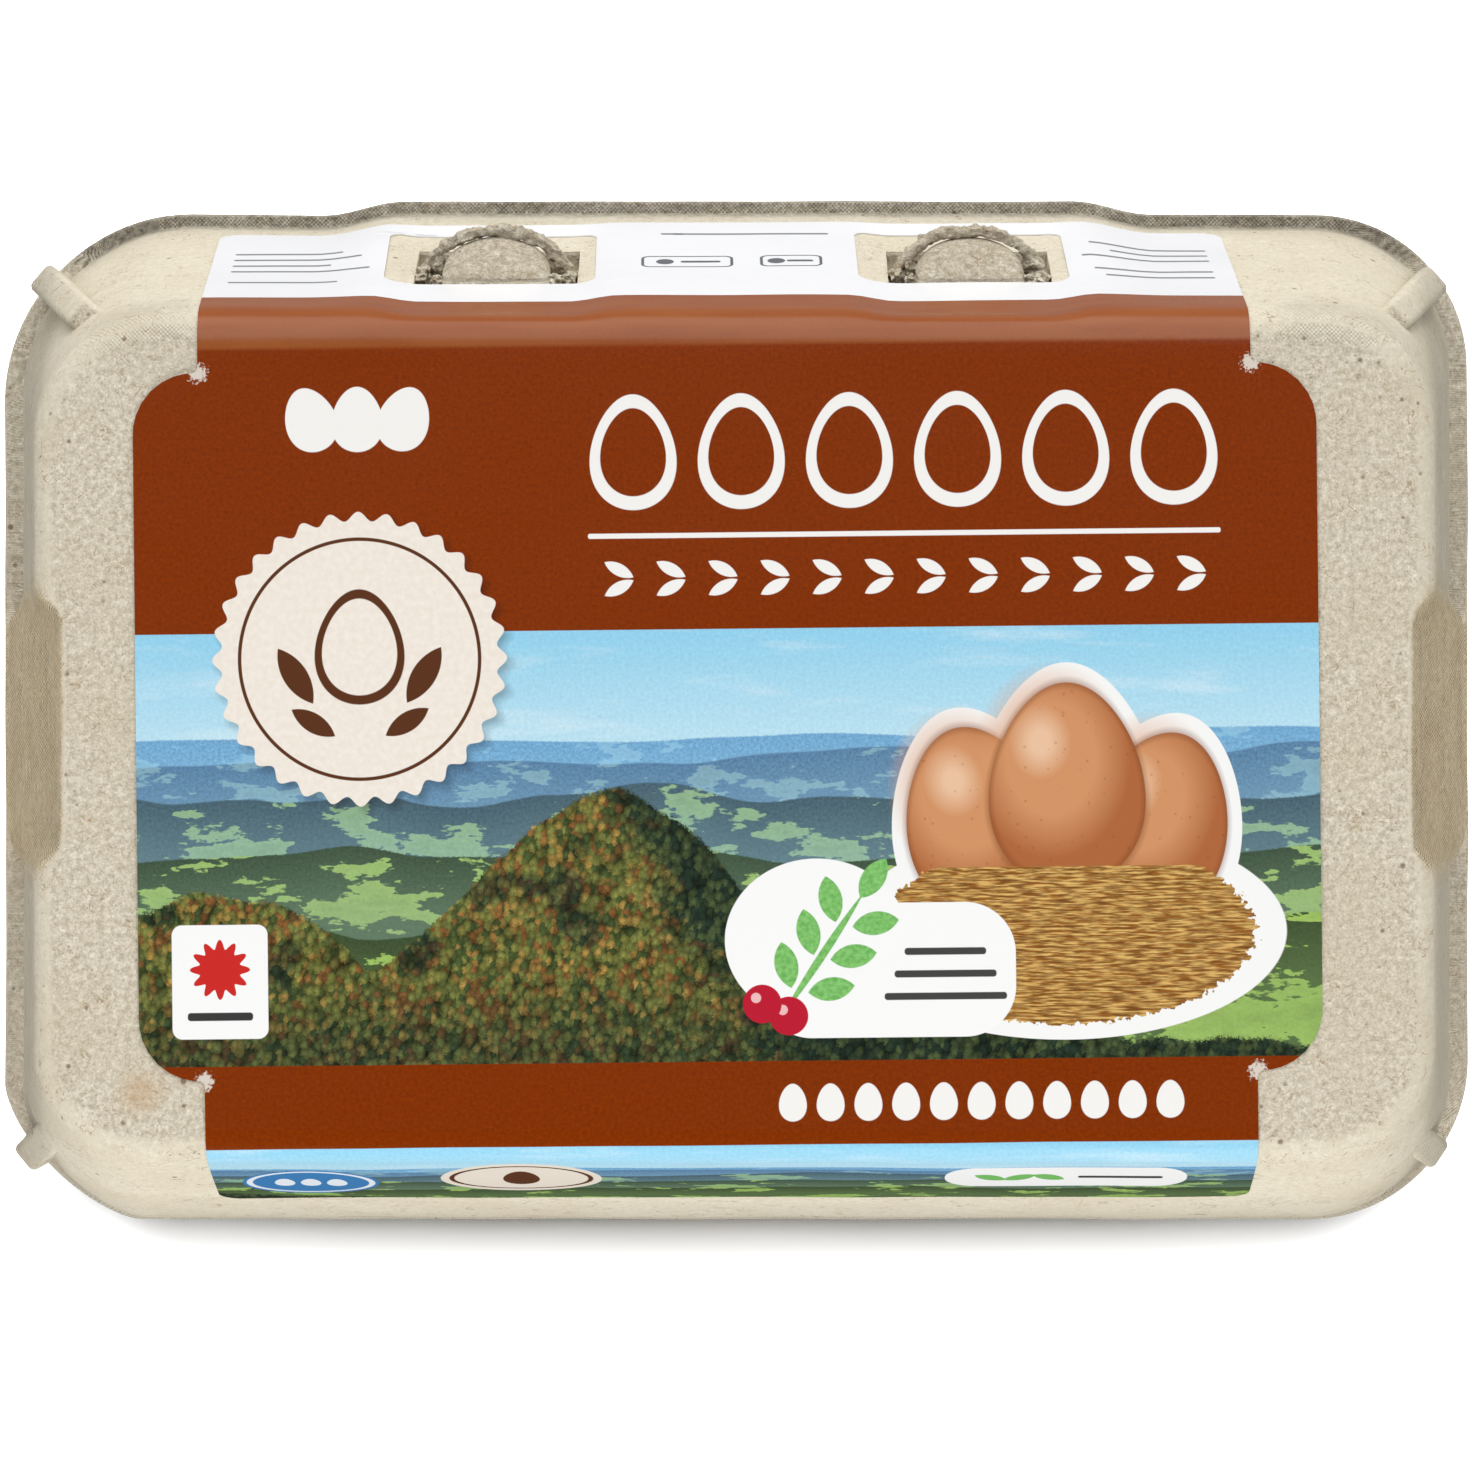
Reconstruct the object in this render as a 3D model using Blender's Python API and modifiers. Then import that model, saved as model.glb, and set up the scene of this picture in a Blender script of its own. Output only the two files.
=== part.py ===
"""A shut egg carton of moulded pulp for six eggs, with a paper label folded over its lid.

The lid, the hinge, the tray and the two locking noses are one moulded piece. The pack is shut and can't be
seen into, so it is solid inside. +Z is up, the long side runs along X and the hinge is on the -Y side. Sizes
are given from the middle of the lid's flat top, and an empty then puts the origin at the middle of the
footprint, on the ground.
"""

import math

import bmesh
import bpy
from mathutils import Vector

OBJECT_NAME = "egg_carton"

# Lid: the edges of its flat top, the folds round that top and the walls below them
LID_TOP = 0.0700
FLAT_LEFT = -0.0664
FLAT_RIGHT = 0.0659
FLAT_HINGE = -0.0385
FLAT_LATCH = 0.0384
SIDE_FOLD_RADIUS = 0.0029
HINGE_FOLD_RADIUS = 0.0035
LATCH_FOLD_RADIUS = 0.0040
SIDE_STEEPNESS = math.radians(83.0)
HINGE_STEEPNESS = math.radians(69.0)
LATCH_STEEPNESS = math.radians(72.3)
WALL_FOOT = 0.0334
HINGE_BEND = (0.0486, 0.0500)

# Rim: the outline in which the lid and the tray meet
RIM_BOTTOM = 0.0310
RIM_LEFT = -0.0762
RIM_RIGHT = 0.0761
RIM_HINGE = -0.0502
RIM_LATCH = 0.0544
SIDE_FLANGE = 0.0020
LATCH_FLANGE = 0.0013
HINGE_FLANGE = 0.0002
# How far in from the rim and how far down from the wall's foot each point of the rim's upper edge lies
RIM_EDGE = ((0.00012, 0.0004), (0.0, 0.0010))

# Corners, counter-clockwise from the one at the right of the latch side: rim radius, top radius and the
# exponent of the rim's superellipse, where 2 is a circle
CORNERS = {
    "latch_right": (0.0160, 0.0100, 2.0),
    "latch_left": (0.0195, 0.0110, 2.0),
    "hinge_left": (0.0140, 0.0090, 1.5),
    "hinge_right": (0.0165, 0.0095, 2.0),
}

# Finger notches in the short sides
NOTCH_MIDDLE = 0.0006
NOTCH_HALF = 0.0108
NOTCH_RAMP = 0.0034
NOTCH_FLAT_EDGE = 0.0655
NOTCH_FOLD_RADIUS = 0.0010
NOTCH_STEEPNESS = math.radians(75.0)
NOTCH_FLANGE = 0.0004

# The middle of the latch side stands out, and it is pressed in round each latch
BULGE_DEPTH = 0.0014
BULGE_HALF = 0.0350
BULGE_RAMP = 0.0080
LATCH_CENTERS = (-0.0242, 0.0234)
PAD_DEPTH = 0.0006
PAD_HALF = 0.0075
PAD_RAMP = 0.0050
# Share of the way down the wall at which the pressed places begin to fade out
PAD_FADE = 0.7

# How far from the middle each side is straight, beyond which a corner begins
SHORT_REACH = 0.0240
LATCH_REACH = 0.0455
HINGE_REACH = 0.0480

# Seam between lid and tray, and the tray's own rim; at the hinge both are shallower
SEAM_DEPTH = 0.0026
SEAM_HINGE_DEPTH = 0.0006
SEAM_HEIGHT = 0.0006
SEAM_ROUNDING = 0.0001
TRAY_RIM_INSET = 0.0004
TRAY_RIM_THICKNESS = 0.0015
TRAY_STEP = 0.0012
TRAY_WALL_INSET = 0.0098
TRAY_HINGE_INSET = 0.0088
TRAY_WALL_TAPER = 0.0040
VALLEY_HEIGHT = 0.0140
# How round the corners are, as shares of the way from the top's radius to the rim's
SEAM_ROUNDNESS = 0.9
TRAY_TOP_ROUNDNESS = 0.7
TRAY_BASE_ROUNDNESS = 0.6

# Cups of the tray, one for each egg
CUP_PITCH_X = 0.0475
CUP_PITCH_Y = 0.0470
CUP_ROWS_MIDDLE = 0.0014
CUP_COLUMNS = (-1, 0, 1)
CUP_ROWS = (-0.5, 0.5)
# Height, half width and corner radius of a cup, from the foot up
CUP_LEVELS = (
    (0.0000, 0.0150, 0.0068),
    (0.0007, 0.0160, 0.0074),
    (0.0024, 0.0169, 0.0080),
    (0.0130, 0.0197, 0.0100),
    (0.0220, 0.0216, 0.0120),
    (0.0292, 0.0229, 0.0135),
)
POST_HOLLOW_RADIUS = 0.0085
POST_HOLLOW_TIP_RADIUS = 0.0035
POST_HOLLOW_START = 0.0120
POST_HOLLOW_TOP = 0.0360

# Ribs that run down the four corners of the lid
RIB_WIDTH = 0.0033
RIB_SHOULDER = 0.0600
RIB_KNEE = 0.0425
RIB_INNER_INSET = 0.0072
RIB_ROOT = 0.0040
RIB_FOOT = 0.0314
RIB_FOOT_INSET = 0.0010
RIB_ROUNDING = 0.0005
# Where each rib's outer end stands and which way it points, in degrees from +X
RIBS = {
    "latch_right": ((0.0719, 0.0472), 41.0),
    "latch_left": ((-0.0716, 0.0474), 140.0),
    "hinge_left": ((-0.0732, -0.0434), 219.0),
    "hinge_right": ((0.0722, -0.0430), 326.0),
}

# Latches: a slot in the lid's wall, and the nose of the tray's flap that stands out through it
SLOT_HALF_WIDTH = 0.0082
SLOT_BOTTOM = 0.0455
SLOT_TOP = 0.0586
SLOT_DEPTH = 0.0020
SLOT_ROUNDING = 0.0012
NOSE_HALF_WIDTH = 0.0057
NOSE_ROOT = 0.0030
# Height of a nose's sections, and how far and how wide they stand out, as shares of the whole
NOSE_REACH = 0.0037
NOSE_SECTIONS = (
    (0.0565, 0.10, 0.88),
    (0.0559, 0.42, 0.97),
    (0.0549, 0.76, 1.00),
    (0.0537, 1.00, 1.00),
    (0.0524, 0.98, 0.98),
    (0.0508, 0.62, 0.92),
    (0.0480, 0.34, 0.84),
    (0.0452, 0.00, 0.66),
)
BEAD_RADIUS = 0.0007
BEAD_HALF_WIDTH = 0.0062
BEAD_REACH = 0.0043
BEAD_HEIGHT = 0.0532
BEAD_END_DROP = 0.0010
BEAD_END_SUNK = 0.0006
# Below 1 the arch is fuller than a half ellipse
BEAD_FULLNESS = 0.75

# Label: a wide part on the flat top, and a narrower flap down the latch side and the hinge side
LABEL_GAP = 0.00030
LABEL_THICKNESS = 0.00025
LABEL_TURN = math.radians(0.6)
LABEL_MIDDLE_X = -0.0009
LABEL_WIDE_HALF = 0.0580
LABEL_FLAP_HALF = 0.0516
LABEL_WIDE_LATCH = 0.0362
LABEL_WIDE_HINGE = -0.0332
LABEL_END_LATCH = 0.0747
LABEL_END_HINGE = -0.0565
LABEL_WIDE_RADIUS = 0.0060
LABEL_FLAP_RADIUS = 0.0022
LABEL_NECK_RADIUS = 0.0006
WINDOW_SHIFT = -0.0007
WINDOW_HALF_WIDTH = 0.0106
WINDOW_START = 0.0540
WINDOW_END = 0.0714
WINDOW_RADIUS = 0.0015

# How finely curved shapes are divided
FOLD_STEPS = 4
WALL_STEPS = 4
CORNER_STEPS = 7
HINGE_STEPS = 6
RAMP_SHARES = (0.0, 0.35, 0.65, 1.0)
SMALLEST_STEP = 0.0012
CUP_CORNER_STEPS = 5
POST_STEPS = 20
NOSE_STEPS = 12
BEAD_STEPS = 14
LABEL_ARC_STEPS = 4

PULP_COLOR = (0.64, 0.57, 0.46, 1.0)
PAPER_COLOR = (0.23, 0.037, 0.003, 1.0)


def blend(start, end, share):
    """The value that lies the given share of the way from start to end."""
    return start + (end - start) * share


def eased(share):
    """A share between 0 and 1 that leaves both ends gently."""
    share = min(max(share, 0.0), 1.0)
    return share * share * (3.0 - 2.0 * share)


def plateau(position, middle, half, ramp):
    """1 within half of the middle, falling to 0 over the ramp beyond it."""
    return 1.0 - eased((abs(position - middle) - half) / ramp)


def side_profile(flat_edge, fold_radius, steepness, flange, rim, bend=None):
    """One lid wall, from the edge of the flat top to the rim: points of (distance outward, height)."""
    points = []
    for step in range(FOLD_STEPS + 1):
        angle = steepness * step / FOLD_STEPS
        outward = flat_edge + fold_radius * math.sin(angle)
        points.append((outward, LID_TOP - fold_radius * (1.0 - math.cos(angle))))
    start = points[-1]
    foot = (rim - flange, WALL_FOOT)
    middle = bend or (blend(start[0], foot[0], 0.5), blend(start[1], foot[1], 0.5))
    for step in range(1, WALL_STEPS + 1):
        share = step / WALL_STEPS
        first = [blend(start[axis], middle[axis], share) for axis in range(2)]
        second = [blend(middle[axis], foot[axis], share) for axis in range(2)]
        points.append(tuple(blend(first[axis], second[axis], share) for axis in range(2)))
    for inward, down in RIM_EDGE:
        points.append((rim - inward, WALL_FOOT - down))
    points.append((rim, RIM_BOTTOM))
    return points


def short_side_profile(flat_edge, rim):
    """The lid's wall at a short side, away from the finger notch."""
    return side_profile(flat_edge, SIDE_FOLD_RADIUS, SIDE_STEEPNESS, SIDE_FLANGE, rim)


def notch_profile(rim):
    """The lid's wall at a short side, in the middle of the finger notch."""
    return side_profile(NOTCH_FLAT_EDGE, NOTCH_FOLD_RADIUS, NOTCH_STEEPNESS, NOTCH_FLANGE, rim)


LATCH_PROFILE = side_profile(
    FLAT_LATCH, LATCH_FOLD_RADIUS, LATCH_STEEPNESS, LATCH_FLANGE, RIM_LATCH
)
HINGE_PROFILE = side_profile(
    -FLAT_HINGE, HINGE_FOLD_RADIUS, HINGE_STEEPNESS, HINGE_FLANGE, -RIM_HINGE, HINGE_BEND
)


def latch_shift(x, height):
    """How far the latch wall stands out of its straight profile at x and at a height."""
    fold_end = LATCH_PROFILE[FOLD_STEPS][1]
    down = min(max((fold_end - height) / (fold_end - WALL_FOOT), 0.0), 1.0)
    bulge = BULGE_DEPTH * down * plateau(x, 0.0, BULGE_HALF, BULGE_RAMP)
    pressed = eased((LID_TOP - height) / (LID_TOP - fold_end))
    pressed *= 1.0 - eased((down - PAD_FADE) / (1.0 - PAD_FADE))
    pads = sum(plateau(x, center, PAD_HALF, PAD_RAMP) for center in LATCH_CENTERS)
    return bulge - PAD_DEPTH * pressed * pads


def stations(reach, marks, ramp, middle_steps):
    """Places along a side, with points at both ends and through the ramps beside each (middle, half) mark."""
    places = {-reach, reach}
    for middle, half in marks:
        for side in (-1, 1):
            places.update(middle + side * (half + ramp * share) for share in RAMP_SHARES)
        places.update(
            blend(middle - half, middle + half, step / middle_steps) for step in range(1, middle_steps)
        )
    kept = []
    for place in sorted(places):
        if abs(place) <= reach and (not kept or place - kept[-1] > SMALLEST_STEP):
            kept.append(place)
    return kept


SHORT_STATIONS = stations(SHORT_REACH, [(NOTCH_MIDDLE, NOTCH_HALF)], NOTCH_RAMP, 3)
LATCH_MARKS = [(0.0, BULGE_HALF)] + [(center, PAD_HALF) for center in LATCH_CENTERS]
LATCH_STATIONS = stations(LATCH_REACH, LATCH_MARKS, PAD_RAMP, 2)
HINGE_STATIONS = [blend(-HINGE_REACH, HINGE_REACH, step / HINGE_STEPS) for step in range(HINGE_STEPS + 1)]


class Level:
    """One ring of the shell: how far its four sides lie from the middle, and how high."""

    def __init__(self, right, latch, left, hinge, radius_share, notch_right=None, notch_left=None):
        self.right, self.latch, self.left, self.hinge = right, latch, left, hinge
        self.radius_share = radius_share
        self.notch_right = notch_right or right
        self.notch_left = notch_left or left

    def short_point(self, side, y):
        plain, notch = (self.right, self.notch_right) if side > 0 else (self.left, self.notch_left)
        share = plateau(y, NOTCH_MIDDLE, NOTCH_HALF, NOTCH_RAMP)
        return Vector((side * blend(plain[0], notch[0], share), y, blend(plain[1], notch[1], share)))

    def latch_point(self, x):
        return Vector((x, self.latch[0] + latch_shift(x, self.latch[1]), self.latch[1]))

    def hinge_point(self, x):
        return Vector((x, -self.hinge[0], self.hinge[1]))

    def corner_points(self, name, start, end, quadrant):
        """A corner from its start side to its end side, turning counter-clockwise."""
        rim_radius, top_radius, exponent = CORNERS[name]
        radius = blend(top_radius, rim_radius, self.radius_share)
        power = 2.0 / blend(2.0, exponent, self.radius_share)
        points = []
        for step in range(CORNER_STEPS + 1):
            share = step / CORNER_STEPS
            along = math.cos(math.pi / 2 * share) ** power
            across = max(math.sin(math.pi / 2 * share), 0.0) ** power
            sizes = (along, across) if quadrant in (0, 2) else (across, along)
            reach_x, reach_y = (start[0], end[0]) if quadrant in (0, 2) else (end[0], start[0])
            x = reach_x - radius * (1.0 - sizes[0])
            y = reach_y - radius * (1.0 - sizes[1])
            sign_x = 1 if quadrant in (0, 3) else -1
            sign_y = 1 if quadrant in (0, 1) else -1
            points.append(Vector((sign_x * x, sign_y * y, blend(start[1], end[1], eased(share)))))
        return points

    def ring(self):
        """All points of this level, counter-clockwise from the right side."""
        points = [self.short_point(1, y) for y in SHORT_STATIONS]
        points += self.corner_points("latch_right", self.right, self.latch, 0)
        points += [self.latch_point(x) for x in reversed(LATCH_STATIONS)]
        points += self.corner_points("latch_left", self.latch, self.left, 1)
        points += [self.short_point(-1, y) for y in reversed(SHORT_STATIONS)]
        points += self.corner_points("hinge_left", self.left, self.hinge, 2)
        points += [self.hinge_point(x) for x in HINGE_STATIONS]
        points += self.corner_points("hinge_right", self.hinge, self.right, 3)
        return points


def lid_levels():
    """The lid's rings from the flat top down to the rim."""
    profiles = [
        short_side_profile(FLAT_RIGHT, RIM_RIGHT),
        LATCH_PROFILE,
        short_side_profile(-FLAT_LEFT, -RIM_LEFT),
        HINGE_PROFILE,
        notch_profile(RIM_RIGHT),
        notch_profile(-RIM_LEFT),
    ]
    levels = []
    for right, latch, left, hinge, notch_right, notch_left in zip(*profiles):
        share = (right[0] - FLAT_RIGHT) / (RIM_RIGHT - FLAT_RIGHT)
        levels.append(Level(right, latch, left, hinge, share, notch_right, notch_left))
    return levels


def inset_level(inset, hinge_inset, height, radius_share=1.0):
    """A level ring that follows the rim at a distance inside it."""
    return Level(
        (RIM_RIGHT - inset, height),
        (RIM_LATCH - inset, height),
        (-RIM_LEFT - inset, height),
        (-RIM_HINGE - hinge_inset, height),
        radius_share,
    )


def seam_and_tray_levels():
    """The seam under the lid's rim, the tray's rim and the tray's body down to the valleys between the cups."""
    tray_top = RIM_BOTTOM - SEAM_HEIGHT
    tray_under = tray_top - TRAY_RIM_THICKNESS
    base_inset = TRAY_WALL_INSET + TRAY_WALL_TAPER
    base_hinge_inset = TRAY_HINGE_INSET + TRAY_WALL_TAPER
    return [
        inset_level(SEAM_DEPTH, SEAM_HINGE_DEPTH, RIM_BOTTOM - SEAM_ROUNDING, SEAM_ROUNDNESS),
        inset_level(SEAM_DEPTH, SEAM_HINGE_DEPTH, tray_top + SEAM_ROUNDING, SEAM_ROUNDNESS),
        inset_level(TRAY_RIM_INSET, TRAY_RIM_INSET, tray_top),
        inset_level(TRAY_RIM_INSET, TRAY_RIM_INSET, tray_under),
        inset_level(TRAY_WALL_INSET, TRAY_HINGE_INSET, tray_under - TRAY_STEP, TRAY_TOP_ROUNDNESS),
        inset_level(base_inset, base_hinge_inset, VALLEY_HEIGHT, TRAY_BASE_ROUNDNESS),
    ]


def loft(name, rings, collection):
    """A closed solid through rings of equal point counts, each counter-clockwise seen from above, top first."""
    mesh = bmesh.new()
    rows = [[mesh.verts.new(point) for point in ring] for ring in rings]
    mesh.faces.new(rows[0])
    mesh.faces.new(reversed(rows[-1]))
    count = len(rows[0])
    for upper, lower in zip(rows, rows[1:]):
        for index in range(count):
            following = (index + 1) % count
            mesh.faces.new((upper[index], lower[index], lower[following], upper[following]))
    return finished_object(name, mesh, collection)


def finished_object(name, mesh, collection):
    """An object from a bmesh, which is freed."""
    bmesh.ops.recalc_face_normals(mesh, faces=mesh.faces)
    data = bpy.data.meshes.new(name)
    mesh.to_mesh(data)
    mesh.free()
    thing = bpy.data.objects.new(name, data)
    collection.objects.link(thing)
    return thing


def rounded_square(center, half, radius, height):
    """A ring of points round a square with rounded corners."""
    points = []
    for quadrant, (sign_x, sign_y) in enumerate(((1, 1), (-1, 1), (-1, -1), (1, -1))):
        middle_x = center[0] + sign_x * (half - radius)
        middle_y = center[1] + sign_y * (half - radius)
        for step in range(CUP_CORNER_STEPS + 1):
            angle = math.pi / 2 * (quadrant + step / CUP_CORNER_STEPS)
            x = middle_x + radius * math.cos(angle)
            y = middle_y + radius * math.sin(angle)
            points.append(Vector((x, y, height)))
    return points


def make_cups(collection):
    """Six tapered cups, each on a flat foot."""
    for column in CUP_COLUMNS:
        for row in CUP_ROWS:
            center = (column * CUP_PITCH_X, CUP_ROWS_MIDDLE + row * CUP_PITCH_Y)
            rings = [
                rounded_square(center, half, radius, height)
                for height, half, radius in reversed(CUP_LEVELS)
            ]
            loft(f"cup_{column}_{row}", rings, collection)


def make_ribs(collection):
    """A rib down each corner of the lid, standing proud of its wall."""
    for name, ((x, y), degrees) in RIBS.items():
        outward = Vector((math.cos(math.radians(degrees)), math.sin(math.radians(degrees)), 0.0))
        across = Vector((-outward.y, outward.x, 0.0))
        end = Vector((x, y, 0.0))
        inner = -RIB_INNER_INSET
        outline = [
            (inner - RIB_ROOT, RIB_SHOULDER),
            (inner, RIB_SHOULDER),
            (0.0, RIB_KNEE),
            (0.0, WALL_FOOT),
            (-RIB_FOOT_INSET, RIB_FOOT),
            (inner - RIB_ROOT, RIB_FOOT),
        ]
        mesh = bmesh.new()
        faces = []
        for side in (-0.5, 0.5):
            points = [
                end + outward * reach + across * (RIB_WIDTH * side) + Vector((0.0, 0.0, height))
                for reach, height in outline
            ]
            faces.append([mesh.verts.new(point) for point in points])
        mesh.faces.new(faces[0])
        mesh.faces.new(reversed(faces[1]))
        for index, vertex in enumerate(faces[0]):
            following = (index + 1) % len(outline)
            mesh.faces.new((vertex, faces[1][index], faces[1][following], faces[0][following]))
        rib = finished_object(f"rib_{name}", mesh, collection)
        soften = rib.modifiers.new("soft edges", "BEVEL")
        soften.width = RIB_ROUNDING
        soften.segments = 1
        soften.limit_method = "ANGLE"


def wall_at(x, height):
    """The latch wall's distance from the middle at x and at a height."""
    for upper, lower in zip(LATCH_PROFILE, LATCH_PROFILE[1:]):
        if lower[1] <= height <= upper[1]:
            share = (upper[1] - height) / (upper[1] - lower[1])
            return blend(upper[0], lower[0], share) + latch_shift(x, height)
    raise ValueError("height outside the latch wall")


def make_noses(collection):
    """The two locking noses: each slopes out to a lip and turns back to the wall under it."""
    for index, center in enumerate(LATCH_CENTERS):
        rings = []
        for height, reach, width in NOSE_SECTIONS:
            wall = wall_at(center, height)
            half = NOSE_HALF_WIDTH * width
            ring = [
                Vector((center - half, wall - NOSE_ROOT, height)),
                Vector((center + half, wall - NOSE_ROOT, height)),
            ]
            for step in range(NOSE_STEPS + 1):
                angle = math.pi * step / NOSE_STEPS
                x = center + half * math.cos(angle)
                y = wall + NOSE_REACH * reach * math.sin(angle)
                ring.append(Vector((x, y, height)))
            rings.append(ring)
        loft(f"nose_{index}", rings, collection)


def make_beads(collection):
    """The torn lip of the lid that is pushed out over each nose, as a tube along an arch."""
    for index, center in enumerate(LATCH_CENTERS):
        curve = bpy.data.curves.new(f"bead_{index}", "CURVE")
        curve.dimensions = "3D"
        curve.bevel_depth = BEAD_RADIUS
        curve.bevel_resolution = 1
        curve.use_fill_caps = True
        spline = curve.splines.new("POLY")
        spline.points.add(BEAD_STEPS)
        for step, point in enumerate(spline.points):
            angle = math.pi * step / BEAD_STEPS
            arch = math.sin(angle)
            height = BEAD_HEIGHT - BEAD_END_DROP * (1.0 - arch)
            x = center + BEAD_HALF_WIDTH * math.cos(angle)
            y = wall_at(center, height) + blend(-BEAD_END_SUNK, BEAD_REACH, arch**BEAD_FULLNESS)
            point.co = (x, y, height, 1.0)
        tube = bpy.data.objects.new(f"bead_{index}", curve)
        collection.objects.link(tube)
        made_mesh(tube, collection)


def made_mesh(curve_object, collection):
    """A mesh object with the shape of a curve object, which is removed."""
    bpy.context.view_layer.update()
    evaluated = curve_object.evaluated_get(bpy.context.evaluated_depsgraph_get())
    data = bpy.data.meshes.new_from_object(evaluated)
    mesh = bmesh.new()
    mesh.from_mesh(data)
    bmesh.ops.remove_doubles(mesh, verts=mesh.verts, dist=1e-6)
    mesh.to_mesh(data)
    mesh.free()
    name = curve_object.name
    world = curve_object.matrix_world.copy()
    bpy.data.objects.remove(curve_object)
    thing = bpy.data.objects.new(name, data)
    thing.matrix_world = world
    collection.objects.link(thing)
    return thing


def make_slot_cutters(collection):
    """A block for each slot in the latch wall, leaning with the wall."""
    for index, center in enumerate(LATCH_CENTERS):
        bpy.ops.mesh.primitive_cube_add(size=1.0)
        block = bpy.context.object
        block.name = f"slot_{index}"
        move_to(block, collection)
        low, high = wall_at(center, SLOT_BOTTOM), wall_at(center, SLOT_TOP)
        lean = math.atan2(low - high, SLOT_TOP - SLOT_BOTTOM)
        height = (SLOT_TOP - SLOT_BOTTOM) / math.cos(lean)
        for vertex in block.data.vertices:
            vertex.co = (
                vertex.co.x * 2 * SLOT_HALF_WIDTH,
                vertex.co.y * 2 * SLOT_DEPTH,
                vertex.co.z * height,
            )
        block.location = (center, (low + high) / 2, (SLOT_BOTTOM + SLOT_TOP) / 2)
        block.rotation_euler = (lean, 0.0, 0.0)
        soften = block.modifiers.new("round ends", "BEVEL")
        soften.width = SLOT_ROUNDING
        soften.segments = 2
        soften.limit_method = "ANGLE"


def make_post_cutters(collection):
    """The cone under each post that stands where four cups meet."""
    for column in (-0.5, 0.5):
        bpy.ops.mesh.primitive_cone_add(
            vertices=POST_STEPS,
            radius1=POST_HOLLOW_RADIUS,
            radius2=POST_HOLLOW_TIP_RADIUS,
            depth=POST_HOLLOW_TOP - POST_HOLLOW_START,
        )
        cone = bpy.context.object
        cone.name = f"post_hollow_{column}"
        move_to(cone, collection)
        cone.location = (column * CUP_PITCH_X, CUP_ROWS_MIDDLE, (POST_HOLLOW_TOP + POST_HOLLOW_START) / 2)


def move_to(thing, collection):
    """Puts an object in one collection only."""
    for other in list(thing.users_collection):
        other.objects.unlink(thing)
    collection.objects.link(thing)


def cut_or_join(target, collection, operation):
    """Adds a Boolean with every object of a collection."""
    step = target.modifiers.new(f"{operation.lower()} {collection.name}", "BOOLEAN")
    step.operation = operation
    step.operand_type = "COLLECTION"
    step.collection = collection
    step.solver = "EXACT"


def make_carton(parts, cutters, joined):
    """The moulded piece: shell, slots, post hollows, and then cups, ribs, noses and beads."""
    rings = [level.ring() for level in lid_levels() + seam_and_tray_levels()]
    carton = loft("carton", rings, parts)
    make_slot_cutters(cutters)
    make_post_cutters(cutters)
    cut_or_join(carton, cutters, "DIFFERENCE")
    make_cups(joined)
    make_ribs(joined)
    make_noses(joined)
    make_beads(joined)
    cut_or_join(carton, joined, "UNION")
    return carton


def arc_corner(corner, before, after, radius, steps):
    """Points that round one corner of an outline; before and after are the outline's points beside it."""
    corner, before, after = Vector(corner), Vector(before), Vector(after)
    to_before = (before - corner).normalized()
    to_after = (after - corner).normalized()
    half_turn = to_before.angle(to_after) / 2
    reach = radius / math.tan(half_turn)
    start, end = corner + to_before * reach, corner + to_after * reach
    center = corner + (to_before + to_after).normalized() * (radius / math.sin(half_turn))
    points = []
    for step in range(steps + 1):
        point = start.lerp(end, step / steps) - center
        points.append(center + point.normalized() * radius)
    return points


def rounded_outline(corners):
    """A closed outline through (x, y, radius) corners."""
    points = []
    for index, (x, y, radius) in enumerate(corners):
        before = corners[index - 1][:2]
        after = corners[(index + 1) % len(corners)][:2]
        points += arc_corner((x, y), before, after, radius, LABEL_ARC_STEPS)
    return points


def label_outline():
    """The label's edge, flat, in its own coordinates: u along the long side, v towards the latch side."""
    half_outline = [
        (LABEL_FLAP_HALF, LABEL_END_HINGE, LABEL_FLAP_RADIUS),
        (LABEL_FLAP_HALF, LABEL_WIDE_HINGE, LABEL_NECK_RADIUS),
        (LABEL_WIDE_HALF, LABEL_WIDE_HINGE, LABEL_WIDE_RADIUS),
        (LABEL_WIDE_HALF, LABEL_WIDE_LATCH, LABEL_WIDE_RADIUS),
        (LABEL_FLAP_HALF, LABEL_WIDE_LATCH, LABEL_NECK_RADIUS),
        (LABEL_FLAP_HALF, LABEL_END_LATCH, LABEL_FLAP_RADIUS),
    ]
    return rounded_outline(half_outline + [(-u, v, radius) for u, v, radius in reversed(half_outline)])


def window_outlines():
    """The label's two windows over the latches, in its own coordinates."""
    outlines = []
    for center in LATCH_CENTERS:
        middle_v = (WINDOW_START + WINDOW_END) / 2
        u = center - LABEL_MIDDLE_X + middle_v * math.sin(LABEL_TURN) + WINDOW_SHIFT
        corners = [
            (u - WINDOW_HALF_WIDTH, WINDOW_START, WINDOW_RADIUS),
            (u - WINDOW_HALF_WIDTH, WINDOW_END, WINDOW_RADIUS),
            (u + WINDOW_HALF_WIDTH, WINDOW_END, WINDOW_RADIUS),
            (u + WINDOW_HALF_WIDTH, WINDOW_START, WINDOW_RADIUS),
        ]
        outlines.append(rounded_outline(corners))
    return outlines


def laid_down(u, v):
    """A point of the flat label, turned and moved to where the label lies on the lid."""
    x = LABEL_MIDDLE_X + u * math.cos(LABEL_TURN) - v * math.sin(LABEL_TURN)
    return x, u * math.sin(LABEL_TURN) + v * math.cos(LABEL_TURN)


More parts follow.
